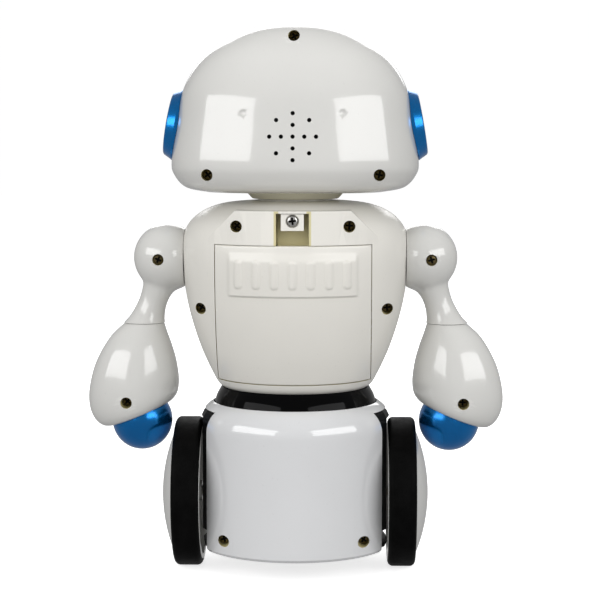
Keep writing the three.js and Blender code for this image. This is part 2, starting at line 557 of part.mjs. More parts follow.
function chassis() {
  const within = baseBody(0.4, 0);
  const { floorR, floorZ, axleHole, motorHole, idlerPin } = CHASSIS;
  const floor = rod("z", floorR, ...floorZ, [0, 0], ROUND_SIDES);
  const sidePlates = [];
  for (const sign of [1, -1]) {
    const span = (a, b) => [sign * a, sign * b].sort((p, q) => p - q);
    const slabOf = ({ x, y, z }) => block(span(...x), y, z);
    const outer = ["slab", "cover", "fender"].map((name) => slabOf(CHASSIS[name]));
    const walls = cut(
      join(common(join(...outer), within), slabOf(CHASSIS.inner), slabOf(CHASSIS.post)),
      rod("x", axleHole, -FAR, FAR, [0, WHEEL.r]),
      rod("x", motorHole, ...span(24, 30), MOTOR_AXIS),
      rod("y", SCREW.clear, 10, 30, [sign * BASE_SCREW.x, BASE_SCREW.z], 8),
    );
    sidePlates.push(walls, rod("x", idlerPin, ...span(28.6, 40), IDLER_AXIS, 10));
  }
  const { y, halfWidth, stub, r } = ROLLER;
  const ears = [1, -1].map((sign) => {
    const [near, far] = [halfWidth + 0.5, halfWidth + 2.5].map((v) => v * sign).sort((p, q) => p - q);
    return cut(block([near, far], [y - 3.4, y + 3.4], [2, 12]), rod("x", stub + GAP, -20, 20, [y, r], 10));
  });
  return cut(join(floor, ...sidePlates, ...ears), rod("z", RING.flange + GAP + 0.1, 75.2, FAR, [0, 0], ROUND_SIDES));
}

function counterweight() {
  const { halfWidth, back, r, z0, z1 } = WEIGHT;
  return common(block([-halfWidth, halfWidth], [-FAR, back], [z0, z1]), rod("z", r, z0, z1, [0, 0], ROUND_SIDES));
}

function waistRing() {
  const { flange, low, lowZ, high, highZ, neck, snap } = RING;
  const profile = [
    [21, 75.6], [flange, 75.6], [flange, 78.4], [low, 78.4], [low, lowZ], [(low + high) / 2 + 0.4, (lowZ + highZ) / 2],
    [high, highZ], [neck, highZ], [neck, 92.2], [snap, 92.4], [snap, 93.6], [21, 93.6],
  ];
  return turned("z", closed(profile));
}

function roller() {
  const { r, y, halfWidth, stub } = ROLLER;
  const end = halfWidth + 2.2;
  const profile = [
    [0, -end], [stub, -end], [stub, -halfWidth], [r - 0.7, -halfWidth], [r, 0.7 - halfWidth], [r, halfWidth - 0.7],
    [r - 0.7, halfWidth], [stub, halfWidth], [stub, end], [0, end],
  ];
  return turned("x", profile, 16).translate([0, y, r]);
}

// ---- Wheels and drive, modelled on the robot's left ---------------------------------------------------------
function tyre() {
  const { r, inner, outer, seat, edge } = WHEEL;
  const profile = [
    [seat, inner], [r - edge, inner], [r, inner + edge], [r, outer - edge], [r - edge, outer], [seat, outer],
  ];
  return turned("x", closed(profile)).translate([0, 0, r]);
}

function wheelHub() {
  const { seat, dome, inner } = WHEEL;
  const rim = seat - GAP;
  const [baseR, baseX] = [rim - 2, 58.8];
  const sphere = (baseR ** 2 + (dome - baseX) ** 2) / (2 * (dome - baseX));
  const domeX = (radius) => dome - sphere + Math.sqrt(sphere ** 2 - radius ** 2);
  const face = [22, 12, 0].map((radius) => [radius, domeX(radius)]);
  const profile = [
    [2.4, inner + 0.7], [5, inner + 0.7], [5, domeX(5) - WALL], [20, domeX(20) - WALL], [rim - WALL - 0.3, baseX - WALL],
    [rim - WALL - 0.3, inner - 0.2], [rim, inner - 0.2], [rim, baseX - 0.3], [baseR, baseX], ...face, [0, 60.4], [2.4, 60.4],
  ];
  return turned("x", closed(profile)).translate([0, 0, WHEEL.r]);
}

// A spur gear with straight-sided teeth, centred on the origin, between two stations on X, one tooth towards an angle.
function gear(teeth, from, to, angle, bore = 0) {
  const pitchR = (GEAR.module * teeth) / 2;
  const [root, tip] = [pitchR - 1.15 * GEAR.module, pitchR + 0.85 * GEAR.module];
  const pitch = (2 * Math.PI) / teeth;
  const shape = new THREE.Shape();
  const corners = [[root, -0.34], [tip, -0.13], [tip, 0.13], [root, 0.34]];
  const points = Array.from({ length: teeth }, (_, i) =>
    corners.map(([radius, share]) => {
      const t = angle + (i + share) * pitch;
      return new THREE.Vector2(radius * Math.cos(t), radius * Math.sin(t));
    }),
  ).flat();
  shape.setFromPoints(points);
  const flat = new THREE.ExtrudeGeometry(shape, { depth: to - from, bevelEnabled: false });
  // The shape's x and y become the robot's y and z, and its depth runs along x.
  flat.applyMatrix4(new THREE.Matrix4().set(0, 0, 1, from, 1, 0, 0, 0, 0, 1, 0, 0, 0, 0, 0, 1));
  const body = solid(flat);
  return bore ? cut(body, rod("x", bore, from - 1, to + 1, [0, 0], 12)) : body;
}

function driveTrain() {
  const wheelAxis = [0, WHEEL.r];
  const bearing = ([y0, z0], [y1, z1]) => Math.atan2(z1 - z0, y1 - y0);
  const toIdler = bearing(wheelAxis, IDLER_AXIS);
  const toMotor = bearing(IDLER_AXIS, MOTOR_AXIS);
  const gapAt = (angle, teeth) => angle + Math.PI + Math.PI / teeth;
  const shaft = join(rod("x", 2, 24, 59.8), rod("x", 3, 27.9, 39.1));
  const output = join(gear(GEAR.output, 29.2, 33, toIdler), shaft).translate([0, ...wheelAxis]);
  const idlerBody = join(
    gear(GEAR.idlerSmall, 29, 33.7, gapAt(toIdler, GEAR.idlerSmall)),
    gear(GEAR.idlerBig, 33.6, 36.6, toMotor),
  );
  const idler = cut(idlerBody, rod("x", 1.8, 20, 45, [0, 0], 10)).translate([0, ...IDLER_AXIS]);
  const pinionTeeth = gear(GEAR.pinion, 32.8, 37.6, gapAt(toMotor, GEAR.pinion));
  const pinion = join(pinionTeeth, rod("x", 1, 27.2, 38, [0, 0], 8)).translate([0, ...MOTOR_AXIS]);
  return { output, idler, pinion };
}

function motor() {
  const { r, halfHeight, x, neckR, neckX } = MOTOR;
  const trim = block([0, FAR], [-FAR, FAR], [MOTOR_AXIS[1] - halfHeight, MOTOR_AXIS[1] + halfHeight]);
  return join(common(rod("x", r, ...x, MOTOR_AXIS, 20), trim), rod("x", neckR, ...neckX, MOTOR_AXIS, 12));
}

function buildDrive(side) {
  const group = new THREE.Group();
  const { output, idler, pinion } = driveTrain();
  group.add(
    node(`tyre_${side}`, tyre(), "rubber"),
    node(`wheel_hub_${side}`, wheelHub(), "white"),
    node(`output_gear_${side}`, output, "white"),
    node(`idler_gear_${side}`, idler, "white"),
    node(`motor_pinion_${side}`, pinion, "steel"),
    node(`drive_motor_${side}`, motor(), "grey"),
  );
  return group;
}

function buildBase() {
  const group = new THREE.Group();
  const [rearShell, frontShell] = baseShells();
  const { x, seat, z } = BASE_SCREW;
  group.add(
    node("chassis", chassis(), "black"),
    node("base_rear_shell", rearShell, "white"),
    node("base_front_shell", frontShell, "white"),
    node("waist_ring", waistRing(), "black"),
    node("front_roller", roller(), "black"),
    node("counterweight", counterweight(), "steel"),
    node("base_screw_left", screw(x, seat, z), "steel"),
    node("base_screw_right", screw(-x, seat, z), "steel"),
  );
  return group;
}

// ---- The whole robot: the right arm and drive are mirror images of the left ones -------------------------------
const robot = new THREE.Group();
robot.add(buildHead(), buildTorso(), buildBase());
for (const side of ["left", "right"]) {
  const pair = new THREE.Group();
  pair.add(buildArm(side), buildDrive(side));
  pair.scale.x = side === "left" ? 1 : -1;
  robot.add(pair);
}

export default robot;
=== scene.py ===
import json
import math

import bmesh
import bpy
from mathutils import Matrix, Vector


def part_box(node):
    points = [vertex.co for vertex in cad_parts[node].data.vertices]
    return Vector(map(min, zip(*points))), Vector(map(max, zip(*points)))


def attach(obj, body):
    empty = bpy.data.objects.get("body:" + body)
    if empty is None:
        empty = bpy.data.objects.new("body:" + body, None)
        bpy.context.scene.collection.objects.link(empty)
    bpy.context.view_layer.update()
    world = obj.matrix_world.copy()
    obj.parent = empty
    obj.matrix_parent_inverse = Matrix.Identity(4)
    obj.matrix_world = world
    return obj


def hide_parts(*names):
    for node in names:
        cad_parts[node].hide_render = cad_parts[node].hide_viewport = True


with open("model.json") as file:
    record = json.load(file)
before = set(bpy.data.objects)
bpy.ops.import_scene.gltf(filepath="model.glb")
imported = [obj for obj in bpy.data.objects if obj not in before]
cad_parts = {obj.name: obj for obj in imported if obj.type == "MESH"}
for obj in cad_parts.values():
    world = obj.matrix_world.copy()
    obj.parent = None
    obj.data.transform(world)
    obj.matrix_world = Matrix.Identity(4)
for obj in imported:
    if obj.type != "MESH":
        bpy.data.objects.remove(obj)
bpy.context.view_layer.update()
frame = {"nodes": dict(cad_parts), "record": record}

# ---- Driving dimensions, in millimetres ----------------------------------------------------------
MM = 0.001
GAP = 0.3  # clearance between neighbouring pieces
WALL = 2  # moulded wall
FAR = 100  # reach of a cutting tool past everything
LARGE, MEDIUM, SMALL = 160, 72, 32  # sides of round bodies
LINE_STEPS = 9  # points between two points of an outline
SEAM = 0.3  # visible gap round the battery cover
PARTING = 0.05  # from the parting plane to each moulded half

SCREW = {
    "head": 2.6, "rise": 1.6, "crown": 0.4, "shank": 1.2, "bore": 2.8, "clear": 1.5, "column": 4.1,
    "length": 12,
}
HEAD = {"depth": 0.85, "squareness": 2.5, "collar_hole": 24.7, "bottom": 185}
EAR = {"x": 57.4, "z": 217.2, "tilt": 10, "r": 17.2, "face": 15.2, "thick": 4.6, "spigot": 5}
VISOR = {"half": 44, "z0": 201, "z1": 243, "corner": 15, "inset": 0.6, "thick": 1.8}
EYE = {"x": 17, "z": 221, "r": 8.5}
SPEAKER = {"z": 211.6, "pitch": 5.4, "hole": 1.0}
PIP = {"x": 24, "z": 222.9, "r": 1.5, "ball": 4.2}  # ejector marks beside the loudspeaker holes
TORSO = {
    "bottom": 89.8, "flat": 53.8, "neck": 14, "lip": 18, "lip_top": 181.2, "floor_hole": 25.6,
    "floor": 34.5,
}
COVER = {"half": 36.7, "z0": 94.6, "z1": 161.2, "thick": 1.8, "back": 9.3}
HOUSING = {"r": 55.2, "half": 39.6, "z0": 149, "top": 177.3, "chamfer": 12.6}
TONGUE = {
    "half": 7.3, "block": 5.3, "floor": 41.5, "thick": 1.8, "block_z": 168.4, "top": 176,
    "screw_z": 172.8,
}
COVER_SCREW = {"seat": 52.4, "bore": 3.1, "length": 13}
PLAQUE = {"half": 31, "z0": 137, "z1": 158.5, "raise": 1.0, "ribs": 7, "rib": 0.7, "rib_width": 3.6}
CELL = {"r": 7.2, "half": 25.2, "pitch": 15, "y": 21.6, "z": 105.4, "nub": 2.7}
BUTTON = {"z": 140, "r": 7, "front": 57.1, "back": 46.2}
SHOULDER = {"x": 62.7, "z": 152.6, "r": 16.3, "stub": 7, "flange": 9.4, "pad": 14}
ELBOW = {"x": 74.3, "z": 120.5, "stub": 6, "flange": 8}
HAND = {"x": 75.7, "z": 72.3, "r": 14.8}
WHEEL = {"r": 36.7, "inner": 45.5, "outer": 59, "seat": 33.9, "dome": 65.5, "edge": 2.6}
BASE = {
    "r": 48, "bottom": 11, "corner": 13.5, "rise": 14.5, "corner_z": 69, "opening": 40.2,
    "notch": 22.5, "top": 78.9,
}
RING = {"flange": 41, "low": 39.7, "low_z": 82, "high": 36.3, "high_z": 89.4, "neck": 25, "snap": 27.3}
ROLLER = {"r": 5.2, "y": -34, "half": 4.7, "stub": 1.6}

# Outlines as (radius or half width, z), run through by a spline.
HEAD_OUTLINE = [
    (43, 185), (53.2, 187.2), (58.8, 193.2), (60, 200), (57.6, 217), (54.2, 234.3), (45.4, 248.7),
    (31.8, 258.9),
    (16.5, 264.5), (0, 265.8),
]
TORSO_OUTLINE = [
    (35.6, 89.8), (39, 93.5), (46.5, 109.7), (52.5, 129.9), (55.4, 151), (54.6, 164), (49.6, 172.4),
    (40, 178),
    (26, 180.4), (0, 181),
]
# The neck collar's section, as (radius, z).
COLLAR_PROFILE = [
    (10, 176), (15.8, 176), (15.8, 178), (13.6, 178), (13.6, 181.5), (20.9, 181.5), (21.7, 182.2),
    (24.4, 185.3), (24.4, 187.3), (27, 187.3), (27, 189), (10, 189),
]
# Cross-sections of the arm: (outer x, outer z, inner x, inner z, half depth).
NECK_SECTIONS = [
    (73, 146, 55.5, 146, 9), (74.7, 138.8, 58.6, 137.6, 8.2), (76.4, 132.6, 61.6, 133.6, 7.4),
    (79, 127.4, 63.8, 128.6, 7.5), (82, 122.8, 64.6, 123.6, 8.7), (84, 120.9, 64.6, 120.9, 9.7),
]
FOREARM_SECTIONS = [
    (84, 120.3, 64.6, 120.3, 9.7), (90.2, 114.6, 63.2, 115.8, 12.8), (95.3, 107, 61, 109.6, 15.6),
    (99.2, 98.6, 58.9, 102.2, 17.6), (101.5, 89.3, 57.7, 94.6, 19), (102, 82, 57.6, 90, 19.3),
    (100.8, 76, 58.3, 86, 19), (98.2, 71.6, 59.9, 83.2, 18), (95, 69.4, 61.6, 81.6, 16.4),
    (92.2, 69.2, 62.9, 81, 15.2),
]


# ---- Meshes --------------------------------------------------------------------------------------
def link(mesh):
    piece = bpy.data.objects.new(mesh.name, mesh)
    bpy.context.scene.collection.objects.link(piece)
    return piece


# A closed mesh from points in millimetres, with repeated points merged and faces turned outwards.
def solid(points, faces):
    mesh = bpy.data.meshes.new("solid")
    mesh.from_pydata([Vector(p) * MM for p in points], [], faces)
    form = bmesh.new()
    form.from_mesh(mesh)
    bmesh.ops.remove_doubles(form, verts=form.verts, dist=1e-7)
    bmesh.ops.recalc_face_normals(form, faces=form.faces)
    form.to_mesh(mesh)
    form.free()
    return link(mesh)


def copy(piece):
    return link(piece.data.copy())


def discard(piece):
    mesh = piece.data
    bpy.data.objects.remove(piece)
    bpy.data.meshes.remove(mesh)


# Puts what the object's modifiers make into its mesh.
def bake_modifiers(piece):
    depsgraph = bpy.context.evaluated_depsgraph_get()
    made = bpy.data.meshes.new_from_object(piece.evaluated_get(depsgraph))
    piece.modifiers.clear()
    old = piece.data
    piece.data = made
    bpy.data.meshes.remove(old)
    if not made.polygons:
        raise RuntimeError("a mesh operation left nothing")
    return piece


# Booleans change and return the body, and use up the tools.
def boolean(body, tool, operation):
    step = body.modifiers.new("boolean", "BOOLEAN")
    step.operation = operation
    step.solver = "MANIFOLD"
    step.object = tool
    bake_modifiers(body)
    discard(tool)
    return body


def cut(body, *tools):
    for tool in tools:
        boolean(body, tool, "DIFFERENCE")
    return body


def join(body, *tools):
    for tool in tools:
        boolean(body, tool, "UNION")
    return body


def common(body, tool):
    return boolean(body, tool, "INTERSECT")


def moved(piece, matrix):
    piece.data.transform(matrix)
    if matrix.determinant() < 0:
        piece.data.flip_normals()
    return piece


def shifted(piece, x, y, z):
    return moved(piece, Matrix.Translation(Vector((x, y, z)) * MM))


def mirrored(piece):
    return moved(piece, Matrix.Scale(-1, 4, (1, 0, 0)))


# A closed skin through rings of points, with flat ends, or joined end to end in a loop.
def skin(rings, loop=False):
    sides = len(rings[0])
    points = [point for ring in rings for point in ring]
    count = len(rings)
    faces = []
    for k in range(count if loop else count - 1):
        a, b = k * sides, (k + 1) % count * sides
        faces += [(a + i, a + (i + 1) % sides, b + (i + 1) % sides, b + i) for i in range(sides)]
    if not loop:
        faces.append(tuple(range(sides)))
        faces.append(tuple(range((count - 1) * sides, count * sides)))
    return solid(points, faces)


def on_axis(axis, along, u, v):
    return {"x": (along, u, v), "y": (u, along, v), "z": (u, v, along)}[axis]


# A turned solid: profile points are (radius, station along the axis), open from the axis or closed on
# itself.
def turned(axis, profile, sides=LARGE, closed=False):
    angles = [2 * math.pi * i / sides for i in range(sides)]
    rings = [[on_axis(axis, s, r * math.cos(t), r * math.sin(t)) for t in angles] for r, s in profile]
    return skin(rings, loop=closed)


# Every sharp corner of a profile turned into a small curve.
def rounded(profile, radius, closed=False, steps=4):
    count = len(profile)
    made = []
    for i, corner in enumerate(profile):
        here = Vector(corner)
        if not closed and i in (0, count - 1):
            made.append(here)
            continue
        back = Vector(profile[i - 1]) - here
        ahead = Vector(profile[(i + 1) % count]) - here
        if back.angle(ahead) > math.radians(168):
            made.append(here)
            continue
        reach = min(radius, back.length * 0.45, ahead.length * 0.45)
        start, end = here + back.normalized() * reach, here + ahead.normalized() * reach
        for step in range(steps + 1):
            t = step / steps
            made.append(start.lerp(here, t).lerp(here.lerp(end, t), t))
    return [tuple(point) for point in made]


def arc(radius, start, end, steps, centre=(0, 0), squash=1.0):
    angles = [math.radians(start + (end - start) * i / steps) for i in range(steps + 1)]
    return [(centre[0] + radius * math.cos(t), centre[1] + radius * squash * math.sin(t)) for t in angles]


def rod(axis, radius, start, end, centre=(0, 0), sides=MEDIUM):
    bar = turned(axis, [(0, start), (radius, start), (radius, end), (0, end)], sides)
    return shifted(bar, *on_axis(axis, 0, *centre))


def block(x, y, z):
    corners = [(a, b, c) for a in x for b in y for c in z]
    faces = [(0, 1, 3, 2), (4, 6, 7, 5), (0, 4, 5, 1), (2, 3, 7, 6), (0, 2, 6, 4), (1, 5, 7, 3)]
    return solid(corners, faces)


# An outline of (x, z) points, swept along Y.
def prism(outline, y0, y1):
    return skin([[(x, y, z) for x, z in outline] for y in (y0, y1)])


def rounded_panel(half, z0, z1, corner, y0, y1, steps=12):
    outline = []
    for quarter, (sx, z) in enumerate(
        [(1, z1 - corner), (-1, z1 - corner), (-1, z0 + corner), (1, z0 + corner)]
    ):
        outline += arc(corner, quarter * 90, quarter * 90 + 90, steps, (sx * (half - corner), z))
    return prism(outline, y0, y1)


# Points of any length run through by a uniform spline.
def spline(points, steps=LINE_STEPS):
    rows = [Vector(point) for point in points]
    made = []
    for i in range(len(rows) - 1):
        before, a, b, after = rows[max(i - 1, 0)], rows[i], rows[i + 1], rows[min(i + 2, len(rows) - 1)]
        v0, v1 = (b - before) * 0.5, (after - a) * 0.5
        for step in range(steps):
            t = step / steps
            cubic = (2 * a - 2 * b + v0 + v1) * t**3 + (3 * b - 3 * a - 2 * v0 - v1) * t**2 + v0 * t + a
            made.append(tuple(cubic))
    return [*made, tuple(rows[-1])]


# Spline through points with more than three numbers.
def long_spline(points, steps):
    halves = [
        spline([point[:3] for point in points], steps),
        spline([(*point[3:], 0) for point in points], steps),
    ]
    return [(*a, *b[: len(points[0]) - 3]) for a, b in zip(*halves)]


# The outline moved inwards by a distance, measured square to the curve.
def inset(outline, distance):
    made = []
    for i, (r, z) in enumerate(outline):
        r0, z0 = outline[max(i - 1, 0)]
        r1, z1 = outline[min(i + 1, len(outline) - 1)]
        length = math.hypot(r1 - r0, z1 - z0)
        made.append((max(0, r - distance * (z1 - z0) / length), z + distance * (r1 - r0) / length))
    return made


def rear_half(whole):
    return common(whole, block((-2 * FAR, 2 * FAR), (PARTING, 2 * FAR), (-FAR, 3 * FAR)))


def front_half(whole):
    return common(whole, block((-2 * FAR, 2 * FAR), (-2 * FAR, -PARTING), (-FAR, 3 * FAR)))


# ---- Materials -----------------------------------------------------------------------------------
def add(tree, kind, inputs=None, **settings):
    made = tree.nodes.new(kind)
    for name, value in settings.items():
        setattr(made, name, value)
    for name, value in (inputs or {}).items():
        if isinstance(value, bpy.types.NodeSocket):
            tree.links.new(value, made.inputs[name])
        else:
            made.inputs[name].default_value = value
    return made


def new_material(name):
    material = bpy.data.materials.new(name)
    material.use_nodes = True
    tree = material.node_tree
    return material, tree, tree.nodes["Principled BSDF"]


def object_place(tree):
    return add(tree, "ShaderNodeTexCoord").outputs["Object"]


def noise(tree, scale, detail=4, roughness=0.5, stretch=(1, 1, 1)):
    place = add(tree, "ShaderNodeMapping", {"Vector": object_place(tree), "Scale": stretch}).outputs[
        "Vector"
    ]
    grain = add(
        tree, "ShaderNodeTexNoise",
        {"Vector": place, "Scale": scale, "Detail": detail, "Roughness": roughness},
    )
    return grain.outputs["Fac"]


def ramp(tree, factor, low, high, steps=((0.35, 0), (0.65, 1))):
    made = add(tree, "ShaderNodeValToRGB", {"Fac": factor})
    for element, (position, side) in zip(made.color_ramp.elements, steps):
        element.position = position
        element.color = high if side else low
    return made.outputs["Color"]


def grey(value):
    return (value, value, value, 1)


def shade(colour, factor):
    return (*[min(1, channel * factor) for channel in colour], 1)


def mix(tree, factor, a, b, kind="MIX"):
    made = add(tree, "ShaderNodeMix", data_type="RGBA", blend_type=kind)
    for socket, value in ((0, factor), (6, a), (7, b)):
        if isinstance(value, bpy.types.NodeSocket):
            tree.links.new(value, made.inputs[socket])
        else:
            made.inputs[socket].default_value = value
    return made.outputs[2]


# Spreads the roughness between two values by a grain.
def vary_gloss(tree, shader, grain, low, high):
    tree.links.new(ramp(tree, grain, grey(low), grey(high)), shader.inputs["Roughness"])


# Bumps the surface by a height, to a strength and over a distance in metres.
def raise_grain(tree, shader, height, strength, distance):
    bump = add(tree, "ShaderNodeBump", {"Height": height, "Strength": strength, "Distance": distance})
    tree.links.new(bump.outputs["Normal"], shader.inputs["Normal"])


# Moulded plastic: mottled colour, painted shade where the surface bends inwards (a warm darker colour),
# paler rubbed edges, uneven gloss and a fine ripple.
def moulded(name, colour, hollow, gloss, ripple=0.04, coat=0.0, grain=0.0, specular=0.5):
    material, tree, shader = new_material(name)
    broad = ramp(tree, noise(tree, 18, 3), shade(colour, 0.98), shade(colour, 1.01))
    specks = ramp(tree, noise(tree, 900, 2), grey(0.95), grey(1), ((0.25, 0), (0.32, 1)))
    mottled = mix(tree, 1.0, broad, specks, "MULTIPLY")
    bent = add(tree, "ShaderNodeNewGeometry").outputs["Pointiness"]
    # Painted shade: where the surface bends inwards, the colour turns to the warm darker hollow colour.
    hollow_painted_shade = ramp(tree, bent, grey(0.8), grey(0), ((0.4, 0), (0.485, 1)))
    edges = ramp(tree, bent, grey(0), grey(0.8), ((0.53, 0), (0.62, 1)))
    hollow_shaded_colour = mix(tree, hollow_painted_shade, mottled, (*hollow, 1))
    rubbed = mix(tree, edges, hollow_shaded_colour, shade(colour, 1.08))
    tree.links.new(rubbed, shader.inputs["Base Color"])
    smears = ramp(tree, noise(tree, 14, 3, 0.5), grey(gloss * 0.92), grey(gloss * 1.1))
    tree.links.new(smears, shader.inputs["Roughness"])
    waves = add(
        tree, "ShaderNodeBump",
        {"Height": noise(tree, 45, 1), "Strength": ripple, "Distance": 0.0008},
    )
    normal = waves.outputs["Normal"]
    if grain:
        texture = noise(tree, 1900, 2, 0.6)
        fine = add(
            tree, "ShaderNodeBump",
            {"Height": texture, "Strength": grain, "Distance": 0.0002, "Normal": normal},
        )
        normal = fine.outputs["Normal"]
    tree.links.new(normal, shader.inputs["Normal"])
    shader.inputs["Coat Weight"].default_value = coat
    shader.inputs["Coat Roughness"].default_value = 0.025
    shader.inputs["Specular IOR Level"].default_value = specular
    return material


# Metallic lacquer: two blues clouded together, fine flakes that tip the light and a clear coat.
def metallic_blue():
    material, tree, shader = new_material("metallic_blue_lacquer")
    cloud = ramp(tree, noise(tree, 40, 3), (0.001, 0.2, 0.62, 1), (0.001, 0.26, 0.76, 1))
    flakes = add(tree, "ShaderNodeTexVoronoi", {"Vector": object_place(tree), "Scale": 2600})
    spark = ramp(tree, flakes.outputs["Distance"], grey(1), grey(0.72), ((0.1, 0), (0.5, 1)))
    colour = mix(tree, 1.0, cloud, spark, "MULTIPLY")
    tree.links.new(colour, shader.inputs["Base Color"])
    vary_gloss(tree, shader, noise(tree, 60, 5), 0.2, 0.27)
    raise_grain(tree, shader, flakes.outputs["Distance"], 0.06, 0.0002)
    shader.inputs["Metallic"].default_value = 0.9
    shader.inputs["Coat Weight"].default_value = 0.35
    shader.inputs["Coat Roughness"].default_value = 0.08
    return material


# Plated or plain metal with lines drawn along one direction and darker spots where the plating has dulled.
def metal(name, colour, gloss, stretch=(1, 1, 30), dull=0.75):
    material, tree, shader = new_material(name)
    spots = ramp(tree, noise(tree, 160, 5, 0.6), shade(colour, dull), (*colour, 1))
    lines = ramp(tree, noise(tree, 300, 3, 0.5, stretch), grey(0.9), grey(1))
    tree.links.new(mix(tree, 1.0, spots, lines, "MULTIPLY"), shader.inputs["Base Color"])
    vary_gloss(tree, shader, noise(tree, 220, 4), gloss * 0.8, gloss * 1.35)
    raise_grain(tree, shader, noise(tree, 500, 3, 0.5, stretch), 0.12, 0.0002)
    shader.inputs["Metallic"].default_value = 1
    return material


# Rubber: nearly black, with dust on the raised edges and a matte grain.
def rubber():
    material, tree, shader = new_material("tyre_rubber")
    base = ramp(tree, noise(tree, 120, 6, 0.65), (0.002, 0.002, 0.002, 1), (0.004, 0.004, 0.004, 1))
    bent = add(tree, "ShaderNodeNewGeometry").outputs["Pointiness"]
    edges = ramp(tree, bent, grey(0), grey(0.5), ((0.52, 0), (0.62, 1)))
    tree.links.new(mix(tree, edges, base, (0.006, 0.006, 0.0055, 1)), shader.inputs["Base Color"])
    vary_gloss(tree, shader, noise(tree, 90, 4), 0.42, 0.62)
    raise_grain(tree, shader, noise(tree, 1600, 3, 0.7), 0.35, 0.0003)
    shader.inputs["Specular IOR Level"].default_value = 0.03
    return material


# The distance of a point from an axis along Y through (x, z), both in millimetres, as bands of light and
# dark.
def ring_bands(tree, x, z, spacing):
    parts = add(tree, "ShaderNodeSeparateXYZ", {"Vector": object_place(tree)}).outputs
    side = add(tree, "ShaderNodeMath", {0: parts["X"]}, operation="ABSOLUTE").outputs[0]
    flat = add(tree, "ShaderNodeCombineXYZ", {"X": side, "Z": parts["Z"]}).outputs[0]
    centre = (x * MM, 0, z * MM)
    reach = add(tree, "ShaderNodeVectorMath", {0: flat, 1: centre}, operation="DISTANCE").outputs["Value"]
    turns = add(tree, "ShaderNodeMath", {0: reach, 1: 2 * math.pi / (spacing * MM)}, operation="MULTIPLY")
    wave = add(tree, "ShaderNodeMath", {0: turns.outputs[0]}, operation="COSINE").outputs[0]
    return wave


def eye_glass():
    material, tree, shader = new_material("eye_glass")
    bands = ramp(
        tree, ring_bands(tree, EYE["x"], EYE["z"], 2.6), (0.0, 0.05, 0.2, 1), (0.1, 0.55, 1, 1),
        ((0.1, 0), (0.8, 1)),
    )
    cloudy = ramp(tree, noise(tree, 80, 3), grey(0.85), grey(1))
    colour = mix(tree, 1.0, bands, cloudy, "MULTIPLY")
    tree.links.new(colour, shader.inputs["Base Color"])
    tree.links.new(colour, shader.inputs["Emission Color"])
    vary_gloss(tree, shader, noise(tree, 120, 3), 0.05, 0.11)
    raise_grain(tree, shader, noise(tree, 400, 2), 0.05, 0.0005)
    shader.inputs["Emission Strength"].default_value = 0.35
    shader.inputs["Coat Weight"].default_value = 1
    return material


# The sleeve of a cell: copper at one end and dark along the rest, by the distance along X, with no
# printing.
def cell_sleeve(name, flipped):
    material, tree, shader = new_material(name)
    along = add(tree, "ShaderNodeSeparateXYZ", {"Vector": object_place(tree)}).outputs["X"]
    sign = -1 if flipped else 1
    place = add(
        tree, "ShaderNodeMath", {0: along, 1: sign / (2 * CELL["half"] * MM), 2: 0.5},
        operation="MULTIPLY_ADD",
    )
    bands = add(tree, "ShaderNodeValToRGB", {"Fac": place.outputs[0]})
    bands.color_ramp.interpolation = "CONSTANT"
    bands.color_ramp.elements[0].color = (0.55, 0.55, 0.56, 1)
    bands.color_ramp.elements[1].position = 0.975
    bands.color_ramp.elements[1].color = (0.55, 0.55, 0.56, 1)
    for position, colour in ((0.012, (0.02, 0.021, 0.024, 1)), (0.7, (0.5, 0.22, 0.07, 1))):
        bands.color_ramp.elements.new(position).color = colour
    stains = ramp(tree, noise(tree, 140, 4), grey(0.85), grey(1))
    tree.links.new(mix(tree, 1.0, bands.outputs["Color"], stains, "MULTIPLY"), shader.inputs["Base Color"])
    vary_gloss(tree, shader, noise(tree, 90, 4), 0.22, 0.34)
    raise_grain(tree, shader, noise(tree, 700, 2), 0.06, 0.0003)
    shader.inputs["Metallic"].default_value = 0.6
    return material


# Solder mask over tracks, which show as slightly paler raised lines.
def board():
    material, tree, shader = new_material("circuit_board")
    cells = add(
        tree, "ShaderNodeTexBrick", {"Vector": object_place(tree), "Scale": 160, "Mortar Size": 0.05},
    )
    tracks = ramp(tree, cells.outputs["Fac"], (0.012, 0.11, 0.035, 1), (0.03, 0.2, 0.07, 1))
    patches = ramp(tree, noise(tree, 60, 4), grey(0.8), grey(1))
    tree.links.new(mix(tree, 1.0, tracks, patches, "MULTIPLY"), shader.inputs["Base Color"])
    vary_gloss(tree, shader, noise(tree, 100, 3), 0.3, 0.45)
    raise_grain(tree, shader, cells.outputs["Fac"], 0.3, 0.0002)
    return material


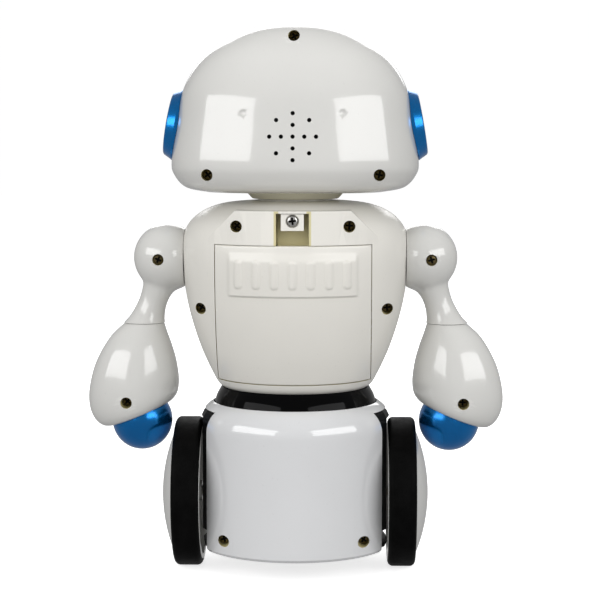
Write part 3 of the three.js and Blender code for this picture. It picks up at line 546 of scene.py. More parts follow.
def make_materials():
    return {
        # The second colour of each moulded plastic is its painted shade, used where the surface bends
        # inwards.
        "white_plastic": moulded("white_gloss", (0.69, 0.685, 0.66), (0.52, 0.49, 0.39), 0.17, coat=0.8),
        "base_white": moulded("base_white_gloss", (0.73, 0.735, 0.745), (0.54, 0.54, 0.51), 0.12, coat=1.0),
        "cream_plastic": moulded("cream_satin", (0.82, 0.8, 0.745), (0.52, 0.47, 0.33), 0.24, grain=0.03),
        # Painted shade for deep bores, the battery bay and the well beside the cover's tongue: a darker
        # olive cream.
        "painted_hollow_shade": moulded("painted_hollow_shade", (0.66, 0.6, 0.34), (0.4, 0.35, 0.16), 0.4, grain=0.03),
        # The collar's cream, paler and warmer than the torso's: its own cream with painted warm light
        # bounced in under the head.
        "collar_painted_bounce": moulded("collar_satin_painted_bounce", (0.92, 0.88, 0.7), (0.6, 0.55, 0.38), 0.3, grain=0.03),
        "black_gloss": moulded(
            "black_gloss", (0.0012, 0.0012, 0.0014), (0.001, 0.001, 0.001), 0.07, specular=0.08,
        ),
        "black_plastic": moulded(
            "black_satin", (0.004, 0.004, 0.004), (0.01, 0.009, 0.006), 0.4, grain=0.2, specular=0.05,
        ),
        "speaker": moulded("speaker_paper", (0.02, 0.02, 0.021), (0.01, 0.01, 0.01), 0.6, grain=0.6),
        "gear_plastic": moulded("gear_nylon", (0.78, 0.76, 0.68), (0.45, 0.4, 0.28), 0.36, grain=0.15),
        "blue_metallic": metallic_blue(),
        "screw_steel": metal("screw_steel", (0.72, 0.71, 0.69), 0.22),
        "screw_bronze": metal("screw_bronze", (0.2, 0.16, 0.08), 0.4, dull=0.5),
        "motor_can": metal("motor_can", (0.6, 0.6, 0.61), 0.3, (30, 1, 1)),
        "spring_steel": metal("spring_steel", (0.75, 0.74, 0.7), 0.2, (1, 30, 1)),
        "tyre": rubber(),
        "eye_lens": eye_glass(),
        "circuit_board": board(),
        "cell": cell_sleeve("cell_sleeve", False),
        "cell_flipped": cell_sleeve("cell_sleeve_flipped", True),
    }


materials = make_materials()
bodies = frame["record"]["behaviour"]["bodies"]
body_of_node = {node: body for body, nodes in bodies.items() for node in nodes}
slot_of_node = {part["node"]: part["material_slot"] for part in frame["record"]["subparts"]}


# Where the CAD has a screw: its axis (x, z) and the plane y that its head rests on, in millimetres.
def screw_place(node):
    low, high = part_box(node)
    rise = SCREW["rise"] + SCREW["crown"]
    return (low.x + high.x) / 2 / MM, high.y / MM - rise, (low.z + high.z) / 2 / MM


# Gives the walls of a shell's screw bores a painted shade, a darker olive colour: they are deep and take
# little light.
def shade_bores(piece, nodes):
    piece.data.materials.append(materials["painted_hollow_shade"])
    for node in nodes:
        x, seat, z = screw_place(node)
        for face in piece.data.polygons:
            here = face.center / MM
            if math.hypot(here.x - x, here.z - z) < SCREW["bore"] + 0.1 and here.y > seat - 0.5:
                if abs(face.normal.y) < 0.4 or here.y < seat + 0.3:
                    face.material_index = 1


# Gives the walls and ledge of the battery bay, seen through the cover's seam and beside its tongue, the same
# painted shade.
def shade_bay(piece):
    reach = COVER["half"] + SEAM + 0.05
    for face in piece.data.polygons:
        here = face.center / MM
        in_bay = abs(here.x) < reach and COVER["z0"] - SEAM - 0.05 < here.z < COVER["z1"] + SEAM + 0.05
        beside_tongue = abs(here.x) < TONGUE["half"] + SEAM + 0.1
        in_channel = beside_tongue and COVER["z1"] < here.z < TONGUE["top"] + 0.5
        if here.y > COVER["back"] and (in_bay or in_channel):
            face.material_index = 1


# Gives a fine piece its name, smooth faces, material and body, and hides the CAD nodes that it stands for.
def stand_for(piece, *nodes, material=None, sharp=32, bores=()):
    node = nodes[0]
    piece.name = piece.data.name = f"{node}_fine"
    mesh = piece.data
    mesh.materials.clear()
    mesh.materials.append(materials[material or slot_of_node[node]])
    for face in mesh.polygons:
        face.material_index = 0
    if bores:
        shade_bores(piece, bores)
    mesh.shade_smooth()
    mesh.set_sharp_from_angle(angle=math.radians(sharp))
    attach(piece, body_of_node[node])
    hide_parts(*nodes)
    return piece


# ---- Fasteners -----------------------------------------------------------------------------------
# A pan-head self-tapping screw along Y with a cross recess, driven from the back.
def screw(node, turn):
    x, seat, z = screw_place(node)
    length = COVER_SCREW["length"] if node == "battery_cover_screw" else SCREW["length"]
    head, rise, shank = SCREW["head"], SCREW["rise"], SCREW["shank"]
    thread = []
    station = 1.6 - length
    while station < -0.8:
        thread += [(shank - 0.25, station), (shank, station + 0.3), (shank - 0.25, station + 0.6)]
        station += 0.9
    crown = [
        (head - 0.12, rise * 0.75), (head * 0.86, rise + 0.02), (head * 0.6, rise + 0.25),
        (0, rise + SCREW["crown"]),
    ]
    profile = [
        (0, -length), (0.35, 1 - length), *thread, (shank - 0.25, 0), (head, 0), (head, rise * 0.4),
        *crown,
    ]
    made = turned("y", profile, SMALL)
    recess = join(
        block((-1.7, 1.7), (rise - 1.3, rise + 2), (-0.5, 0.5)),
        block((-0.5, 0.5), (rise - 1.3, rise + 2), (-1.7, 1.7)),
    )
    made = cut(made, recess)
    moved(made, Matrix.Rotation(math.radians(turn), 4, "Y"))
    finish = "screw_steel" if node == "battery_cover_screw" else "screw_bronze"
    stand_for(shifted(made, x, seat, z), node, material=finish)
    # Painted shade: the walls and floor of the cross recess take black plastic, so that the recess reads
    # dark.
    made.data.materials.append(materials["black_plastic"])
    for face in made.data.polygons:
        here = face.center / MM
        if here.y > seat + rise - 1.4 and math.hypot(here.x - x, here.z - z) < 1.8 and face.normal.y < 0.5:
            face.material_index = 1
        elif abs(here.y - seat - rise + 1.3) < 0.05:
            face.material_index = 1


# Two halves held by one screw: a column in each, counterbored from the back down to the screw's seat.
def screw_together(rear, front, outside, node, limit=None):
    x, seat, z = screw_place(node)
    seat -= GAP / 3
    whole = common(rod("y", SCREW["column"], -FAR, FAR, (x, z), SMALL), copy(limit or outside))
    bore = join(
        rod("y", SCREW["bore"], seat, FAR, (x, z), SMALL),
        rod("y", SCREW["clear"], seat - SCREW["length"] - 1, seat + 1, (x, z), SMALL),
    )
    rear = cut(join(rear, rear_half(copy(whole))), copy(bore))
    front = cut(join(front, front_half(whole)), bore)
    return rear, front


# ---- Head ----------------------------------------------------------------------------------------
# A level ring of the head: a superellipse, wider than it is deep.
def head_ring(half_width, z, sides):
    power = 2 / HEAD["squareness"]
    ring = []
    for i in range(sides):
        t = 2 * math.pi * i / sides
        c, s = math.cos(t), math.sin(t)
        x = half_width * math.copysign(abs(c) ** power, c)
        ring.append((x, half_width * HEAD["depth"] * math.copysign(abs(s) ** power, s), z))
    return ring


def head_form(depth, sides=LARGE):
    return skin([head_ring(r, z, sides) for r, z in inset(spline(HEAD_OUTLINE), depth)])


# Places a solid built round the origin, axis +X, on the tilted axis of the left ear.
def on_ear_axis(piece):
    place = Matrix.Translation(Vector((EAR["x"], 0, EAR["z"])) * MM)
    return moved(piece, place @ Matrix.Rotation(math.radians(-EAR["tilt"]), 4, "Y"))


def ear_cap():
    r, face, thick, spigot = EAR["r"], EAR["face"], EAR["thick"], EAR["spigot"]
    side = [(r + 0.1, 0), (face + 0.1, thick - 0.5)]
    groove = [(face - 0.6, thick), (face - 3, thick), (face - 3.6, thick - 0.6)]
    rings = []
    for radius in (9, 5.5):
        rings += [
            (radius + 0.5, thick - 0.45), (radius + 0.25, thick - 0.8), (radius - 0.25, thick - 0.8),
            (radius - 0.5, thick - 0.45),
        ]
    profile = [(0, -6), (spigot, -6), (spigot, 0), *side, *groove, *rings, (0, thick - 0.2)]
    return on_ear_axis(turned("x", rounded(profile, 0.3), LARGE))


# The skirt that carries the ear's side down to the curved head behind it.
def ear_skirt(head):
    r = EAR["r"] + 0.1
    skirt = turned("x", [(r - 2.4, -9), (r, -9), (r, 0.3), (r - 2.4, 0.3)], LARGE, True)
    return cut(on_ear_axis(skirt), head)


def speaker_holes():
    tools = [rod("y", SPEAKER["hole"], 20, FAR, (0, SPEAKER["z"]), SMALL)]
    for ring, count in ((1, 4), (2, 8)):
        for i in range(count):
            t = 2 * math.pi * i / count
            reach = ring * SPEAKER["pitch"]
            place = (reach * math.cos(t), SPEAKER["z"] + reach * math.sin(t))
            tools.append(rod("y", SPEAKER["hole"], 20, FAR, place, SMALL))
    return tools


# The y, in millimetres, where a line along Y at (x, z) first meets the piece: from behind, or from the
# front with -1.
def surface_y(piece, x, z, side=1):
    hit, place, _, _ = piece.ray_cast(Vector((x, side * 2 * FAR, z)) * MM, Vector((0, -side, 0)))
    return place.y / MM if hit else 0


# The flat that the left ear sits on, as a tool.
def ear_seat():
    return on_ear_axis(rod("x", EAR["r"] + 0.2, -GAP, 20, sides=LARGE))


# Everything that the head's shells may fill: the whole form with the flats that the ears sit on.
def seated_head():
    seat = ear_seat()
    return cut(head_form(-0.15), mirrored(copy(seat)), seat)


def make_head():
    outside = head_form(0)
    whole = cut(copy(outside), head_form(WALL, MEDIUM))
    seat = ear_seat()
    hole = on_ear_axis(rod("x", EAR["spigot"] + GAP, -12, 1))
    whole = cut(whole, mirrored(copy(seat)), mirrored(copy(hole)), seat, hole)
    whole = cut(whole, rod("z", HEAD["collar_hole"], 150, HEAD["bottom"] + 5, sides=LARGE))
    rear, front = rear_half(copy(whole)), front_half(whole)
    opening = rounded_panel(VISOR["half"], VISOR["z0"], VISOR["z1"], VISOR["corner"], -FAR, -5)
    front = cut(front, opening)
    for place in ("top", "left", "right"):
        rear, front = screw_together(rear, front, outside, f"head_screw_{place}")
    rear = cut(rear, *speaker_holes())
    for side in (-1, 1):
        y = surface_y(outside, side * PIP["x"], PIP["z"]) + math.sqrt(PIP["ball"] ** 2 - PIP["r"] ** 2)
        ball = turned("z", arc(PIP["ball"], -90, 90, 24), MEDIUM)
        rear = cut(rear, shifted(ball, side * PIP["x"], y, PIP["z"]))
    stand_for(rear, "head_rear_shell", bores=[f"head_screw_{place}" for place in ("top", "left", "right")])
    stand_for(front, "head_front_shell")
    make_face(outside)
    cap = join(ear_cap(), ear_skirt(seated_head()))
    stand_for(mirrored(copy(cap)), "ear_cap_right")
    stand_for(cap, "ear_cap_left")
    collar = turned("z", rounded(COLLAR_PROFILE, 0.3, True), LARGE, True)
    # The collar takes its cream with painted warm bounce light.
    stand_for(collar, "neck_collar", material="collar_painted_bounce")
    discard(outside)


# The visor, set a little into the face, and the two eyes on their bridge behind it.
def make_face(outside):
    visor = cut(head_form(VISOR["inset"]), head_form(VISOR["inset"] + VISOR["thick"], MEDIUM))
    span = (VISOR["half"] - GAP, VISOR["z0"] + GAP, VISOR["z1"] - GAP)
    visor = common(visor, rounded_panel(*span, VISOR["corner"], -FAR, -5))
    for side in (-1, 1):
        visor = cut(visor, rod("y", EYE["r"], -FAR, 0, (side * EYE["x"], EYE["z"])))
    stand_for(visor, "face_visor")
    lenses = block((-EYE["x"], EYE["x"]), (-43, -40.5), (EYE["z"] - 4, EYE["z"] + 2))
    dome = head_form(VISOR["inset"] / 2)
    for side in (-1, 1):
        rim = surface_y(outside, side * EYE["x"], EYE["z"], -1)
        r = EYE["r"] - GAP
        bulge = [(0, rim + 1.2), (2.5, rim + 1.25), (5, rim + 1.5), (r - 1, rim + 2.1), (r, rim + 3)]
        lens = turned("y", [*bulge, (r, -40.5), (0, -40.5)], MEDIUM)
        lens = shifted(lens, side * EYE["x"], 0, EYE["z"])
        lenses = join(lenses, common(lens, copy(dome)))
    discard(dome)
    stand_for(lenses, "eye_lenses")


# ---- Torso ---------------------------------------------------------------------------------------
# The battery housing: round like the torso it stands out of, but upright to a flat top with slanted
# corners.
def housing(depth):
    w, high, chamfer = HOUSING["half"] - depth, HOUSING["top"] - depth, HOUSING["chamfer"]
    z0 = HOUSING["z0"]
    outline = [
        (-w, z0), (w, z0), (w, high - chamfer), (w - chamfer, high), (chamfer - w, high),
        (-w, high - chamfer),
    ]
    front = prism(outline, 20, FAR)
    return common(front, rod("z", HOUSING["r"] - depth, z0 - 1, 2 * FAR, sides=LARGE))


def torso_body(depth, sides=LARGE):
    outline = inset(spline(TORSO_OUTLINE), depth)
    return turned("z", [(0, outline[0][1]), *outline], sides)


def torso_form(depth, sides=LARGE):
    return join(torso_body(depth, sides), housing(depth))


# The frame inside the bay that the battery cover rests on.
def cover_ledge():
    half, z0, z1 = COVER["half"], COVER["z0"], COVER["z1"]
    ledge = cut(torso_form(COVER["thick"] + GAP), torso_form(WALL + 1.4))
    ledge = common(ledge, block((-half - 1.7, half + 1.7), (9, FAR), (z0 - 1.7, z1 + 1.7)))
    tongue = TONGUE["half"] + SEAM
    return cut(
        ledge,
        block((1.5 - half, half - 1.5), (0, FAR), (z0 + 1.5, z1 - 1.5)),
        block((-tongue, tongue), (0, FAR), (z1 - 3, z1 + 3)),
    )


def make_torso_shells():
    outside = common(torso_form(0), block((-TORSO["flat"], TORSO["flat"]), (-FAR, FAR), (0, 3 * FAR)))
    whole = cut(copy(outside), torso_form(WALL))
    whole = join(whole, rod("z", TORSO["floor"], TORSO["bottom"], TORSO["bottom"] + WALL, sides=LARGE))
    whole = join(whole, rod("z", TORSO["lip"], 175, TORSO["lip_top"], sides=LARGE))
    pads = common(
        rod("x", SHOULDER["pad"], -TORSO["flat"], TORSO["flat"], (0, SHOULDER["z"])), copy(outside),
    )
    pads = cut(pads, block((-50.3, 50.3), (-FAR, FAR), (0, 3 * FAR)))
    whole = join(whole, pads)
    ledge = cut(rod("z", 24, 150, 178.7), rod("z", 0.5, 149, 179))
    whole = cut(
        whole,
        rod("z", TORSO["neck"], 150, 200),
        rod("z", TORSO["floor_hole"], 80, 100),
        ledge,
        rod("x", SHOULDER["stub"] + 0.4, -FAR, FAR, (0, SHOULDER["z"])),
    )
    rear, front = rear_half(copy(whole)), front_half(whole)
    for level in ("upper", "lower"):
        for side in ("left", "right"):
            rear, front = screw_together(rear, front, outside, f"torso_screw_{level}_{side}")
    pocket = common(block((-9.7, 9.7), (38.4, FAR), (COVER["z1"] + GAP, HOUSING["top"])), copy(outside))
    rear = cut(
        join(rear, pocket),
        block(
            (-TONGUE["half"] - SEAM, TONGUE["half"] + SEAM), (TONGUE["floor"] - GAP, FAR),
            (COVER["z1"] - 3, TONGUE["top"] + SEAM),
        ),
        block(
            (-COVER["half"] - SEAM, COVER["half"] + SEAM), (9, FAR),
            (COVER["z0"] - SEAM, COVER["z1"] + SEAM),
        ),
        rod("y", SCREW["clear"], 30, FAR, (0, TONGUE["screw_z"]), SMALL),
    )
    rear = join(rear, cover_ledge())
    front = cut(front, rod("y", BUTTON["r"] + 0.4, -FAR, 0, (0, BUTTON["z"])))
    bores = [f"torso_screw_{level}_{side}" for level in ("upper", "lower") for side in ("left", "right")]
    shade_bay(stand_for(rear, "torso_rear_shell", bores=bores))
    stand_for(front, "torso_front_shell")
    discard(outside)


# The torso's radius at a height, where the battery cover is.
def cover_radius(z, outline):
    for (r0, z0), (r1, z1) in zip(outline, outline[1:]):
        if z0 <= z <= z1:
            natural = r0 + (r1 - r0) * (z - z0) / (z1 - z0)
            return max(natural, HOUSING["r"]) if z > HOUSING["z0"] else natural
    return HOUSING["r"]


def ease(t):
    t = min(1, max(0, t))
    return t * t * (3 - 2 * t)


# How far the cover's face stands out at (x, z): a plaque with a crisp lower edge that fades towards its
# top, seven rounded ribs on it, and edges that fall away at the cover's rim.
def relief(x, z):
    rise = ease((z - PLAQUE["z0"]) / 0.9) * ease((PLAQUE["z1"] - z) / 5.0) * ease(
        (PLAQUE["half"] - abs(x)) / 2.4
    )
    rise *= PLAQUE["raise"]
    pitch = (2 * PLAQUE["half"] - 12) / (PLAQUE["ribs"] - 1)
    across = x - pitch * round(x / pitch)
    end = 4.0
    beyond = max(0, PLAQUE["z0"] + end + 1.8 - z, z - PLAQUE["z1"] + end + 1.8)
    reach = math.hypot(across, beyond) / (PLAQUE["rib_width"] / 2)
    if abs(x) < PLAQUE["half"] - 3 and reach < 1:
        rise += PLAQUE["rib"] * (1 - reach**3) ** 0.6
    rim = min(COVER["half"] - abs(x), z - COVER["z0"], COVER["z1"] - z)
    return rise - 0.35 * (1 - min(1, rim / 0.5)) ** 2


# Stations from low to high, close together at both ends.
def stations(low, high, step):
    count = round((high - low) / step)
    inner = [low + 0.6 + (high - low - 1.2) * i / count for i in range(count + 1)]
    ends = (0, 0.06, 0.14, 0.25, 0.4)
    return [*[low + e for e in ends], *inner, *[high - e for e in reversed(ends)]]


def make_battery_cover():
    outline = spline(TORSO_OUTLINE)
    xs = stations(-COVER["half"], COVER["half"], 0.5)
    zs = stations(COVER["z0"], COVER["z1"], 0.5)
    points = []
    for layer in (0, 1):
        for z in zs:
            radius = cover_radius(z, outline)
            for x in xs:
                flat = math.sqrt(max(1, radius**2 - x**2))
                depth = -COVER["thick"] if layer else relief(x, z)
                scale = (radius + depth) / radius
                edge = x if layer or abs(x) > COVER["half"] - 0.7 else x * scale
                points.append((edge, flat * scale if not layer else flat + depth, z))
    wide, tall = len(xs), len(zs)
    faces = []
    for j in range(tall - 1):
        for i in range(wide - 1):
            a = j * wide + i
            b = a + wide * tall
            faces.append((a, a + 1, a + wide + 1, a + wide))
            faces.append((b, b + wide, b + wide + 1, b + 1))
    rim = list(range(wide))
    rim += [j * wide + wide - 1 for j in range(1, tall)]
    rim += [(tall - 1) * wide + i for i in range(wide - 2, -1, -1)]
    rim += [j * wide for j in range(tall - 2, 0, -1)]
    for a, b in zip(rim, rim[1:] + rim[:1]):
        faces.append((a, b, b + wide * tall, a + wide * tall))
    plate = solid(points, faces)
    w, bw = TONGUE["half"], TONGUE["block"]
    floor, top, z1 = TONGUE["floor"], TONGUE["top"], COVER["z1"]
    web = common(block((-w, w), (floor, FAR), (z1 - 2, z1 - 0.2)), torso_form(COVER["thick"] / 2))
    tongue = block((-w, w), (floor, floor + TONGUE["thick"]), (z1 - 2, top))
    head = common(block((-bw, bw), (floor, FAR), (TONGUE["block_z"], top)), torso_form(0.4))
    cover = join(plate, web, tongue, head)
    at = (0, TONGUE["screw_z"])
    cover = cut(cover, rod("y", SCREW["clear"], 30, FAR, at, SMALL))
    cover = cut(cover, rod("y", COVER_SCREW["bore"], COVER_SCREW["seat"], FAR, at))
    stand_for(cover, "battery_cover")
    # Painted shade: the faces of the tongue down in the well beside the block take the darker olive shade.
    cover.data.materials.append(materials["painted_hollow_shade"])
    for face in cover.data.polygons:
        here = face.center / MM
        if here.z > z1 + 0.1 and here.y < floor + TONGUE["thick"] + 0.1:
            face.material_index = 1


def make_cells():
    r, half, nub = CELL["r"], CELL["half"], CELL["nub"]
    for index in range(4):
        crimp = [(r, half - 2.2), (r - 0.25, half - 2.0), (r - 0.25, half - 1.2)]
        profile = [
            (0, -half), (r - 1, -half), (r, -half + 0.8), *crimp, (nub, half - 1.2), (nub, half),
            (0, half),
        ]
        cell = turned("x", rounded(profile, 0.3), MEDIUM)
        flipped = index % 2 == 1
        if flipped:
            cell = moved(cell, Matrix.Rotation(math.pi, 4, "Z"))
        shifted(cell, 0, CELL["y"], CELL["z"] + index * CELL["pitch"])
        stand_for(cell, f"battery_cell_{index + 1}", material="cell_flipped" if flipped else "cell")
        make_spring(index, flipped)


# A conical contact spring between the flat end of a cell and the wall of its box.
def make_spring(index, flipped):
    curve = bpy.data.curves.new("spring", "CURVE")
    curve.dimensions = "3D"
    curve.bevel_depth = 0.35 * MM
    curve.bevel_resolution = 3
    turns, steps = 4, 24
    count = turns * steps + 1
    line = curve.splines.new("POLY")
    line.points.add(count - 1)
    sign = 1 if flipped else -1
    z = CELL["z"] + index * CELL["pitch"]
    for i, point in enumerate(line.points):
        part = i / (count - 1)
        t = 2 * math.pi * i / steps
        radius = 4.6 - 2.2 * part
        x = sign * (CELL["half"] + 4.7 - 4.2 * part)
        point.co = (x * MM, (CELL["y"] + radius * math.cos(t)) * MM, (z + radius * math.sin(t)) * MM, 1)
    wire = bpy.data.objects.new("spring", curve)
    bpy.context.scene.collection.objects.link(wire)
    mesh = bpy.data.meshes.new_from_object(wire.evaluated_get(bpy.context.evaluated_depsgraph_get()))
    bpy.data.objects.remove(wire)
    spring = link(mesh)
    spring.name = f"contact_spring_{index + 1}"
    mesh.materials.clear()
    mesh.materials.append(materials["spring_steel"])
    mesh.shade_smooth()
    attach(spring, "torso")


def make_button():
    r, tip, back = BUTTON["r"], BUTTON["front"], BUTTON["back"]
    flange = [(r + 1.6, -back), (r + 1.6, -back - 1.6), (r, -back - 1.6)]
    dish = [(r, -tip), (r - 1.6, -tip), (r - 2.6, 0.5 - tip), (0, 0.8 - tip)]
    profile = [(0, -back), *flange, *dish]
    button = turned("y", rounded(profile, 0.5), MEDIUM)
    stand_for(shifted(button, 0, 0, BUTTON["z"]), "power_button")


# ---- Arms, made on the robot's left and mirrored -------------------------------------------------
def arm_ring(section, wall=0.0, sides=MEDIUM):
    outer_x, outer_z, inner_x, inner_z, half_depth = section
    centre = Vector(((outer_x + inner_x) / 2, 0, (outer_z + inner_z) / 2))
    reach = Vector((outer_x, 0, outer_z)) - centre
    reach *= (reach.length - wall) / reach.length
    ring = []
    for i in range(sides):
        t = 2 * math.pi * i / sides
        point = centre + reach * math.cos(t)
        ring.append((point.x, (half_depth - wall) * math.sin(t), point.z))
    return ring


def ball(radius, x, z, sides=LARGE):
    return shifted(turned("y", arc(radius, -90, 90, sides // 2), sides), x, 0, z)


# The shoulder ball and its neck, melted together where they meet.
def upper_arm_form():
    sections = long_spline([*NECK_SECTIONS, FOREARM_SECTIONS[1]], 6)
    neck = skin([arm_ring(s, -0.3) for s in sections])
    form = join(ball(SHOULDER["r"] + 0.4, SHOULDER["x"], SHOULDER["z"], MEDIUM), neck)
    remesh = form.modifiers.new("remesh", "REMESH")
    remesh.mode = "VOXEL"
    remesh.voxel_size = 0.7 * MM
    soften = form.modifiers.new("soften", "SMOOTH")
    soften.factor = 0.5
    soften.iterations = 48
    return bake_modifiers(form)


def make_upper_arm():
    x, z, r = SHOULDER["x"], SHOULDER["z"], SHOULDER["r"]
    inner = TORSO["flat"] + GAP
    foot = FOREARM_SECTIONS[0][1] + 0.25
    clip = block((inner, 2 * FAR), (-FAR, FAR), (foot, 3 * FAR))
    outside = common(upper_arm_form(), clip)
    hollow = common(
        ball(r - WALL, x, z, MEDIUM), block((inner + WALL, 2 * FAR), (-FAR, FAR), (z - 11, 3 * FAR)),
    )
    shaft = join(
        rod("x", SHOULDER["stub"], 47.2, 56, (0, z)), rod("x", SHOULDER["flange"], 47.2, 50, (0, z)),
    )
    at = (ELBOW["x"], 0)
    pivot = join(
        rod("z", ELBOW["stub"], ELBOW["z"] - 6.6, ELBOW["z"] + 1, at),
        rod("z", ELBOW["flange"], ELBOW["z"] - 6.6, ELBOW["z"] - 3.6, at),
    )
    whole = join(cut(copy(outside), hollow), shaft, pivot)
    halves = screw_together(rear_half(copy(whole)), front_half(whole), outside, "shoulder_screw_left")
    discard(outside)
    for half, place in zip(halves, ("rear", "front")):
        for side, piece in (("right", mirrored(copy(half))), ("left", half)):
            stand_for(piece, f"upper_arm_{place}_{side}", bores=[f"shoulder_screw_{side}"])


def make_forearm():
    sections = long_spline(FOREARM_SECTIONS, 8)
    outside = skin([arm_ring(s) for s in sections])
    last = FOREARM_SECTIONS[-1]
    down = (last[0] - 2, last[1] - 5, last[2] - 2, last[3] - 5, last[4])
    lining = [arm_ring(s, WALL) for s in long_spline(FOREARM_SECTIONS[1:-2], 8)]
    inside = skin([*lining, arm_ring(last), arm_ring(down)])
    at = (ELBOW["x"], 0)
    whole = cut(
        copy(outside),
        inside,
        rod("z", ELBOW["flange"] + 0.5, ELBOW["z"] - 7.4, ELBOW["z"] - 3.2, at),
        rod("z", ELBOW["stub"] + 0.4, ELBOW["z"] - 8, ELBOW["z"] + 2, at),
    )
    limit = common(copy(outside), block((0, 2 * FAR), (-FAR, FAR), (HAND["z"] + 5, 3 * FAR)))
    halves = screw_together(rear_half(copy(whole)), front_half(whole), outside, "forearm_screw_left", limit)
    discard(outside)
    discard(limit)
    for half, place in zip(halves, ("rear", "front")):
        for side, piece in (("right", mirrored(copy(half))), ("left", half)):
            stand_for(piece, f"forearm_{place}_{side}", bores=[f"forearm_screw_{side}"])


def make_hand():
    x, _, z = screw_place("forearm_screw_left")
    hand = ball(HAND["r"], HAND["x"], HAND["z"])
    hand = cut(hand, rod("y", SCREW["column"] + GAP, -FAR, FAR, (x, z)))
    stand_for(mirrored(copy(hand)), "hand_ball_right")
    stand_for(hand, "hand_ball_left")


# ---- Base and wheels -----------------------------------------------------------------------------
# The dome over the wheels, moved inwards by a depth, as a solid down to a level z.
def base_form(depth, bottom):
    r, corner, rise = BASE["r"], BASE["corner"], BASE["rise"]
    shoulder = arc(
        corner - depth, 0, 90, 24, (r - corner, BASE["corner_z"]), (rise - depth) / (corner - depth),
    )
    return turned(
        "z",
        [(0, bottom), (r - 1.2 - depth, bottom), (r - depth, bottom + 1.4), *shoulder, (0, shoulder[-1][1])],
    )


def make_base():
    whole = cut(
        base_form(0, BASE["bottom"]), base_form(WALL, 0),
        rod("z", BASE["opening"], 60, FAR, sides=LARGE),
    )
    notch = BASE["notch"]
    for x in ((-FAR, -30), (30, FAR)):
        whole = cut(whole, block(x, (-notch, notch), (0, BASE["top"])))
    rear, front = rear_half(copy(whole)), front_half(whole)
    for side in ("left", "right"):
        x, seat, z = screw_place(f"base_screw_{side}")
        boss = common(rod("y", SCREW["column"], 22, FAR, (x, z), SMALL), base_form(0, BASE["bottom"]))
        rear = join(rear, boss)
        rear = cut(rear, rod("y", SCREW["bore"], seat - GAP / 3, FAR, (x, z), SMALL))
        rear = cut(rear, rod("y", SCREW["clear"], 10, seat + 1, (x, z), SMALL))
    bores = [f"base_screw_{side}" for side in ("left", "right")]
    stand_for(rear, "base_rear_shell", material="base_white", bores=bores)
    stand_for(front, "base_front_shell", material="base_white")
    middle = ((RING["low"] + RING["high"]) / 2 + 0.4, (RING["low_z"] + RING["high_z"]) / 2)
    flare = spline([(RING["low"], RING["low_z"]), middle, (RING["high"], RING["high_z"])], 8)
    ring = [
        (21, 75.6), (RING["flange"], 75.6), (RING["flange"], 78.4), (RING["low"], 78.4), *flare,
        (RING["neck"], RING["high_z"]), (RING["neck"], 92.2), (RING["snap"], 92.4),
        (RING["snap"], 93.6), (21, 93.6),
    ]
    stand_for(turned("z", rounded(ring, 0.4, True), LARGE, True), "waist_ring")


# A smooth tyre with round shoulders.
def tyre():
    r, inner, outer, seat, edge = WHEEL["r"], WHEEL["inner"], WHEEL["outer"], WHEEL["seat"], WHEEL["edge"]
    low = arc(edge, 180, 90, 8, (inner + edge, r - edge))
    high = arc(edge, 90, 0, 8, (outer - edge, r - edge))
    profile = [(seat, inner), *[(a, b) for b, a in low], *[(a, b) for b, a in high], (seat, outer)]
    return turned("x", profile, LARGE, True)


def wheel_hub():
    seat, dome, inner = WHEEL["seat"], WHEEL["dome"], WHEEL["inner"]
    rim = seat - GAP
    base_r, base_x = rim - 2, 58.8
    sphere = (base_r**2 + (dome - base_x) ** 2) / (2 * (dome - base_x))

    def dome_x(radius):
        return dome - sphere + math.sqrt(sphere**2 - radius**2)

    face = [(radius, dome_x(radius)) for radius in (28, 24, 20, 16, 12, 8, 4, 0)]
    profile = [
        (2.4, inner + 0.7), (5, inner + 0.7), (5, dome_x(5) - WALL), (20, dome_x(20) - WALL),
        (rim - WALL - 0.3, base_x - WALL), (rim - WALL - 0.3, inner - 0.2), (rim, inner - 0.2),
        (rim, base_x - 0.3),
        (base_r, base_x), *face, (0, 60.4), (2.4, 60.4),
    ]
    return turned("x", rounded(profile, 0.25, True), LARGE, True)


def make_wheels():
    for made, node in ((tyre(), "tyre"), (wheel_hub(), "wheel_hub")):
        shifted(made, 0, 0, WHEEL["r"])
        stand_for(mirrored(copy(made)), f"{node}_right")
        stand_for(made, f"{node}_left")


def make_roller():
    r, half, stub = ROLLER["r"], ROLLER["half"], ROLLER["stub"]
    end = half + 2.2
    profile = [
        (0, -end), (stub, -end), (stub, -half), (r - 0.7, -half), (r, 0.7 - half), (r, half - 0.7),
        (r - 0.7, half),
        (stub, half), (stub, end), (0, end),
    ]
    roller = turned("x", rounded(profile, 0.4), MEDIUM)
    stand_for(shifted(roller, 0, ROLLER["y"], r), "front_roller")


# ---- The robot -----------------------------------------------------------------------------------
def make_screws():
    nodes = sorted(node for node in frame["nodes"] if "_screw" in node)
    for index, node in enumerate(nodes):
        screw(node, 17 + 40 * index)


# CAD nodes whose shape is already right keep it and take a fine material.
def finish_plain_nodes():
    plain = {
        "chassis": "black_plastic", "battery_box": "cream_plastic", "main_board": "circuit_board",
        "speaker": "speaker",
        "counterweight": "screw_steel",
    }
    for side in ("left", "right"):
        plain[f"output_gear_{side}"] = "gear_plastic"
        plain[f"idler_gear_{side}"] = "gear_plastic"
        plain[f"motor_pinion_{side}"] = "screw_steel"
        plain[f"drive_motor_{side}"] = "motor_can"
    for node, material in plain.items():
        mesh = frame["nodes"][node].data
        mesh.materials.clear()
        mesh.materials.append(materials[material])


make_head()
make_torso_shells()
make_battery_cover()
make_cells()
make_button()
make_upper_arm()
make_forearm()
make_hand()
make_base()
make_wheels()
make_roller()
make_screws()
finish_plain_nodes()


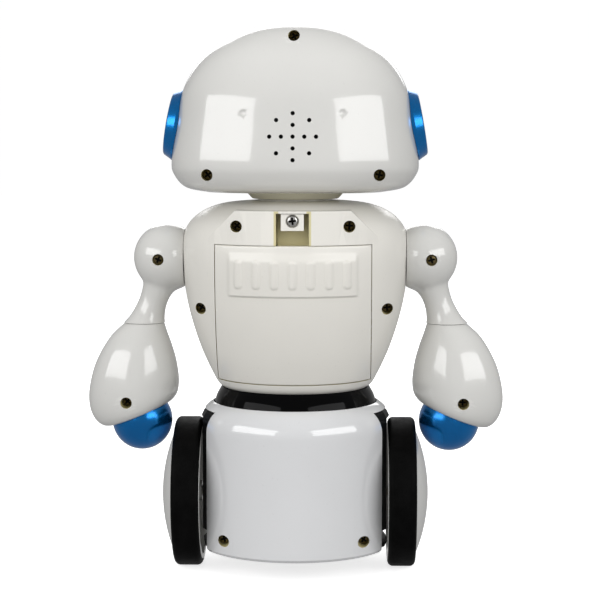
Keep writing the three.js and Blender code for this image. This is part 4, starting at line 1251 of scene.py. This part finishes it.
# ---- Studio --------------------------------------------------------------------------------------
# A plain surface that shines a little by itself, so that shadows on it stay pale.
def pale(name, colour, glow):
    material, tree, shader = new_material(name)
    tint = ramp(tree, noise(tree, 2, 2), shade(colour, 0.985), (*colour, 1))
    tree.links.new(tint, shader.inputs["Base Color"])
    shader.inputs["Roughness"].default_value = 0.9
    tree.links.new(tint, shader.inputs["Emission Color"])
    shader.inputs["Emission Strength"].default_value = glow
    return material


def make_stage():
    half = 6000
    floor = solid([(-half, -half, 0), (half, -half, 0), (half, half, 0), (-half, half, 0)], [(0, 1, 2, 3)])
    floor.name = "floor"
    floor.data.materials.append(pale("pale_floor", (0.9, 0.9, 0.9), 0.85))
    rings = [(5500, -10), (5500, 4500), (0, 4500)]
    backdrop = turned("z", rings, MEDIUM)
    backdrop.data.flip_normals()
    backdrop.name = "backdrop"
    backdrop.data.materials.append(pale("pale_backdrop", (0.0, 0.0, 0.0), 1.0))
    shader = backdrop.data.materials[0].node_tree.nodes["Principled BSDF"]
    for part in list(shader.inputs["Emission Color"].links):
        backdrop.data.materials[0].node_tree.links.remove(part)
    shader.inputs["Emission Color"].default_value = (1, 1, 1, 1)
    backdrop.visible_diffuse = False
    backdrop.visible_glossy = False
    backdrop.visible_transmission = False
    backdrop.visible_shadow = False
    floor.visible_diffuse = False
    floor.visible_glossy = False


# A soft box that faces a point, both in metres.
def soft_box(name, place, target, width, height, power):
    light = bpy.data.lights.new(name, "AREA")
    light.shape = "RECTANGLE"
    light.size = width
    light.size_y = height
    light.energy = power
    lamp = bpy.data.objects.new(name, light)
    lamp.location = place
    lamp.rotation_euler = (Vector(target) - Vector(place)).to_track_quat("-Z", "Y").to_euler()
    bpy.context.scene.collection.objects.link(lamp)
    return lamp


def make_lights():
    reach, turn = 1.1, math.radians(50)
    for side in (-1, 1):
        place = (side * reach * math.sin(turn), reach * math.cos(turn), 0.5)
        soft_box("side_box", place, (0, 0, 0.16), 1.2, 0.4, 5)
    fills = [
        soft_box("top_box", (0, 0.1, 1.25), (0, 0, 0.15), 1.2, 1.0, 5),
        soft_box("camera_box", (0, 1.6, 0.3), (0, 0, 0.15), 1.4, 1.0, 5),
    ]
    for lamp in fills:
        lamp.visible_glossy = False
    soft_box("front_box", (0, -1.3, 0.75), (0, 0, 0.15), 1.0, 0.7, 4)
    world = bpy.data.worlds.new("studio")
    world.use_nodes = True
    background = world.node_tree.nodes["Background"]
    background.inputs["Color"].default_value = (1, 1, 1, 1)
    background.inputs["Strength"].default_value = 0.36
    bpy.context.scene.world = world


def make_camera():
    height, distance, pitch, yaw = 0.213, 0.9, math.radians(5), math.radians(1.5)
    camera = bpy.data.objects.new("camera", bpy.data.cameras.new("camera"))
    camera.data.lens = 112.4
    camera.data.sensor_width = 36
    camera.data.shift_x = -0.0015
    camera.location = (-distance * math.sin(yaw), distance * math.cos(yaw), height)
    aim = Vector((math.sin(yaw) * math.cos(pitch), -math.cos(yaw) * math.cos(pitch), -math.sin(pitch)))
    camera.rotation_euler = aim.to_track_quat("-Z", "Y").to_euler()
    bpy.context.scene.collection.objects.link(camera)
    bpy.context.scene.camera = camera


make_stage()
make_lights()
make_camera()
bpy.context.scene.view_settings.view_transform = "Standard"
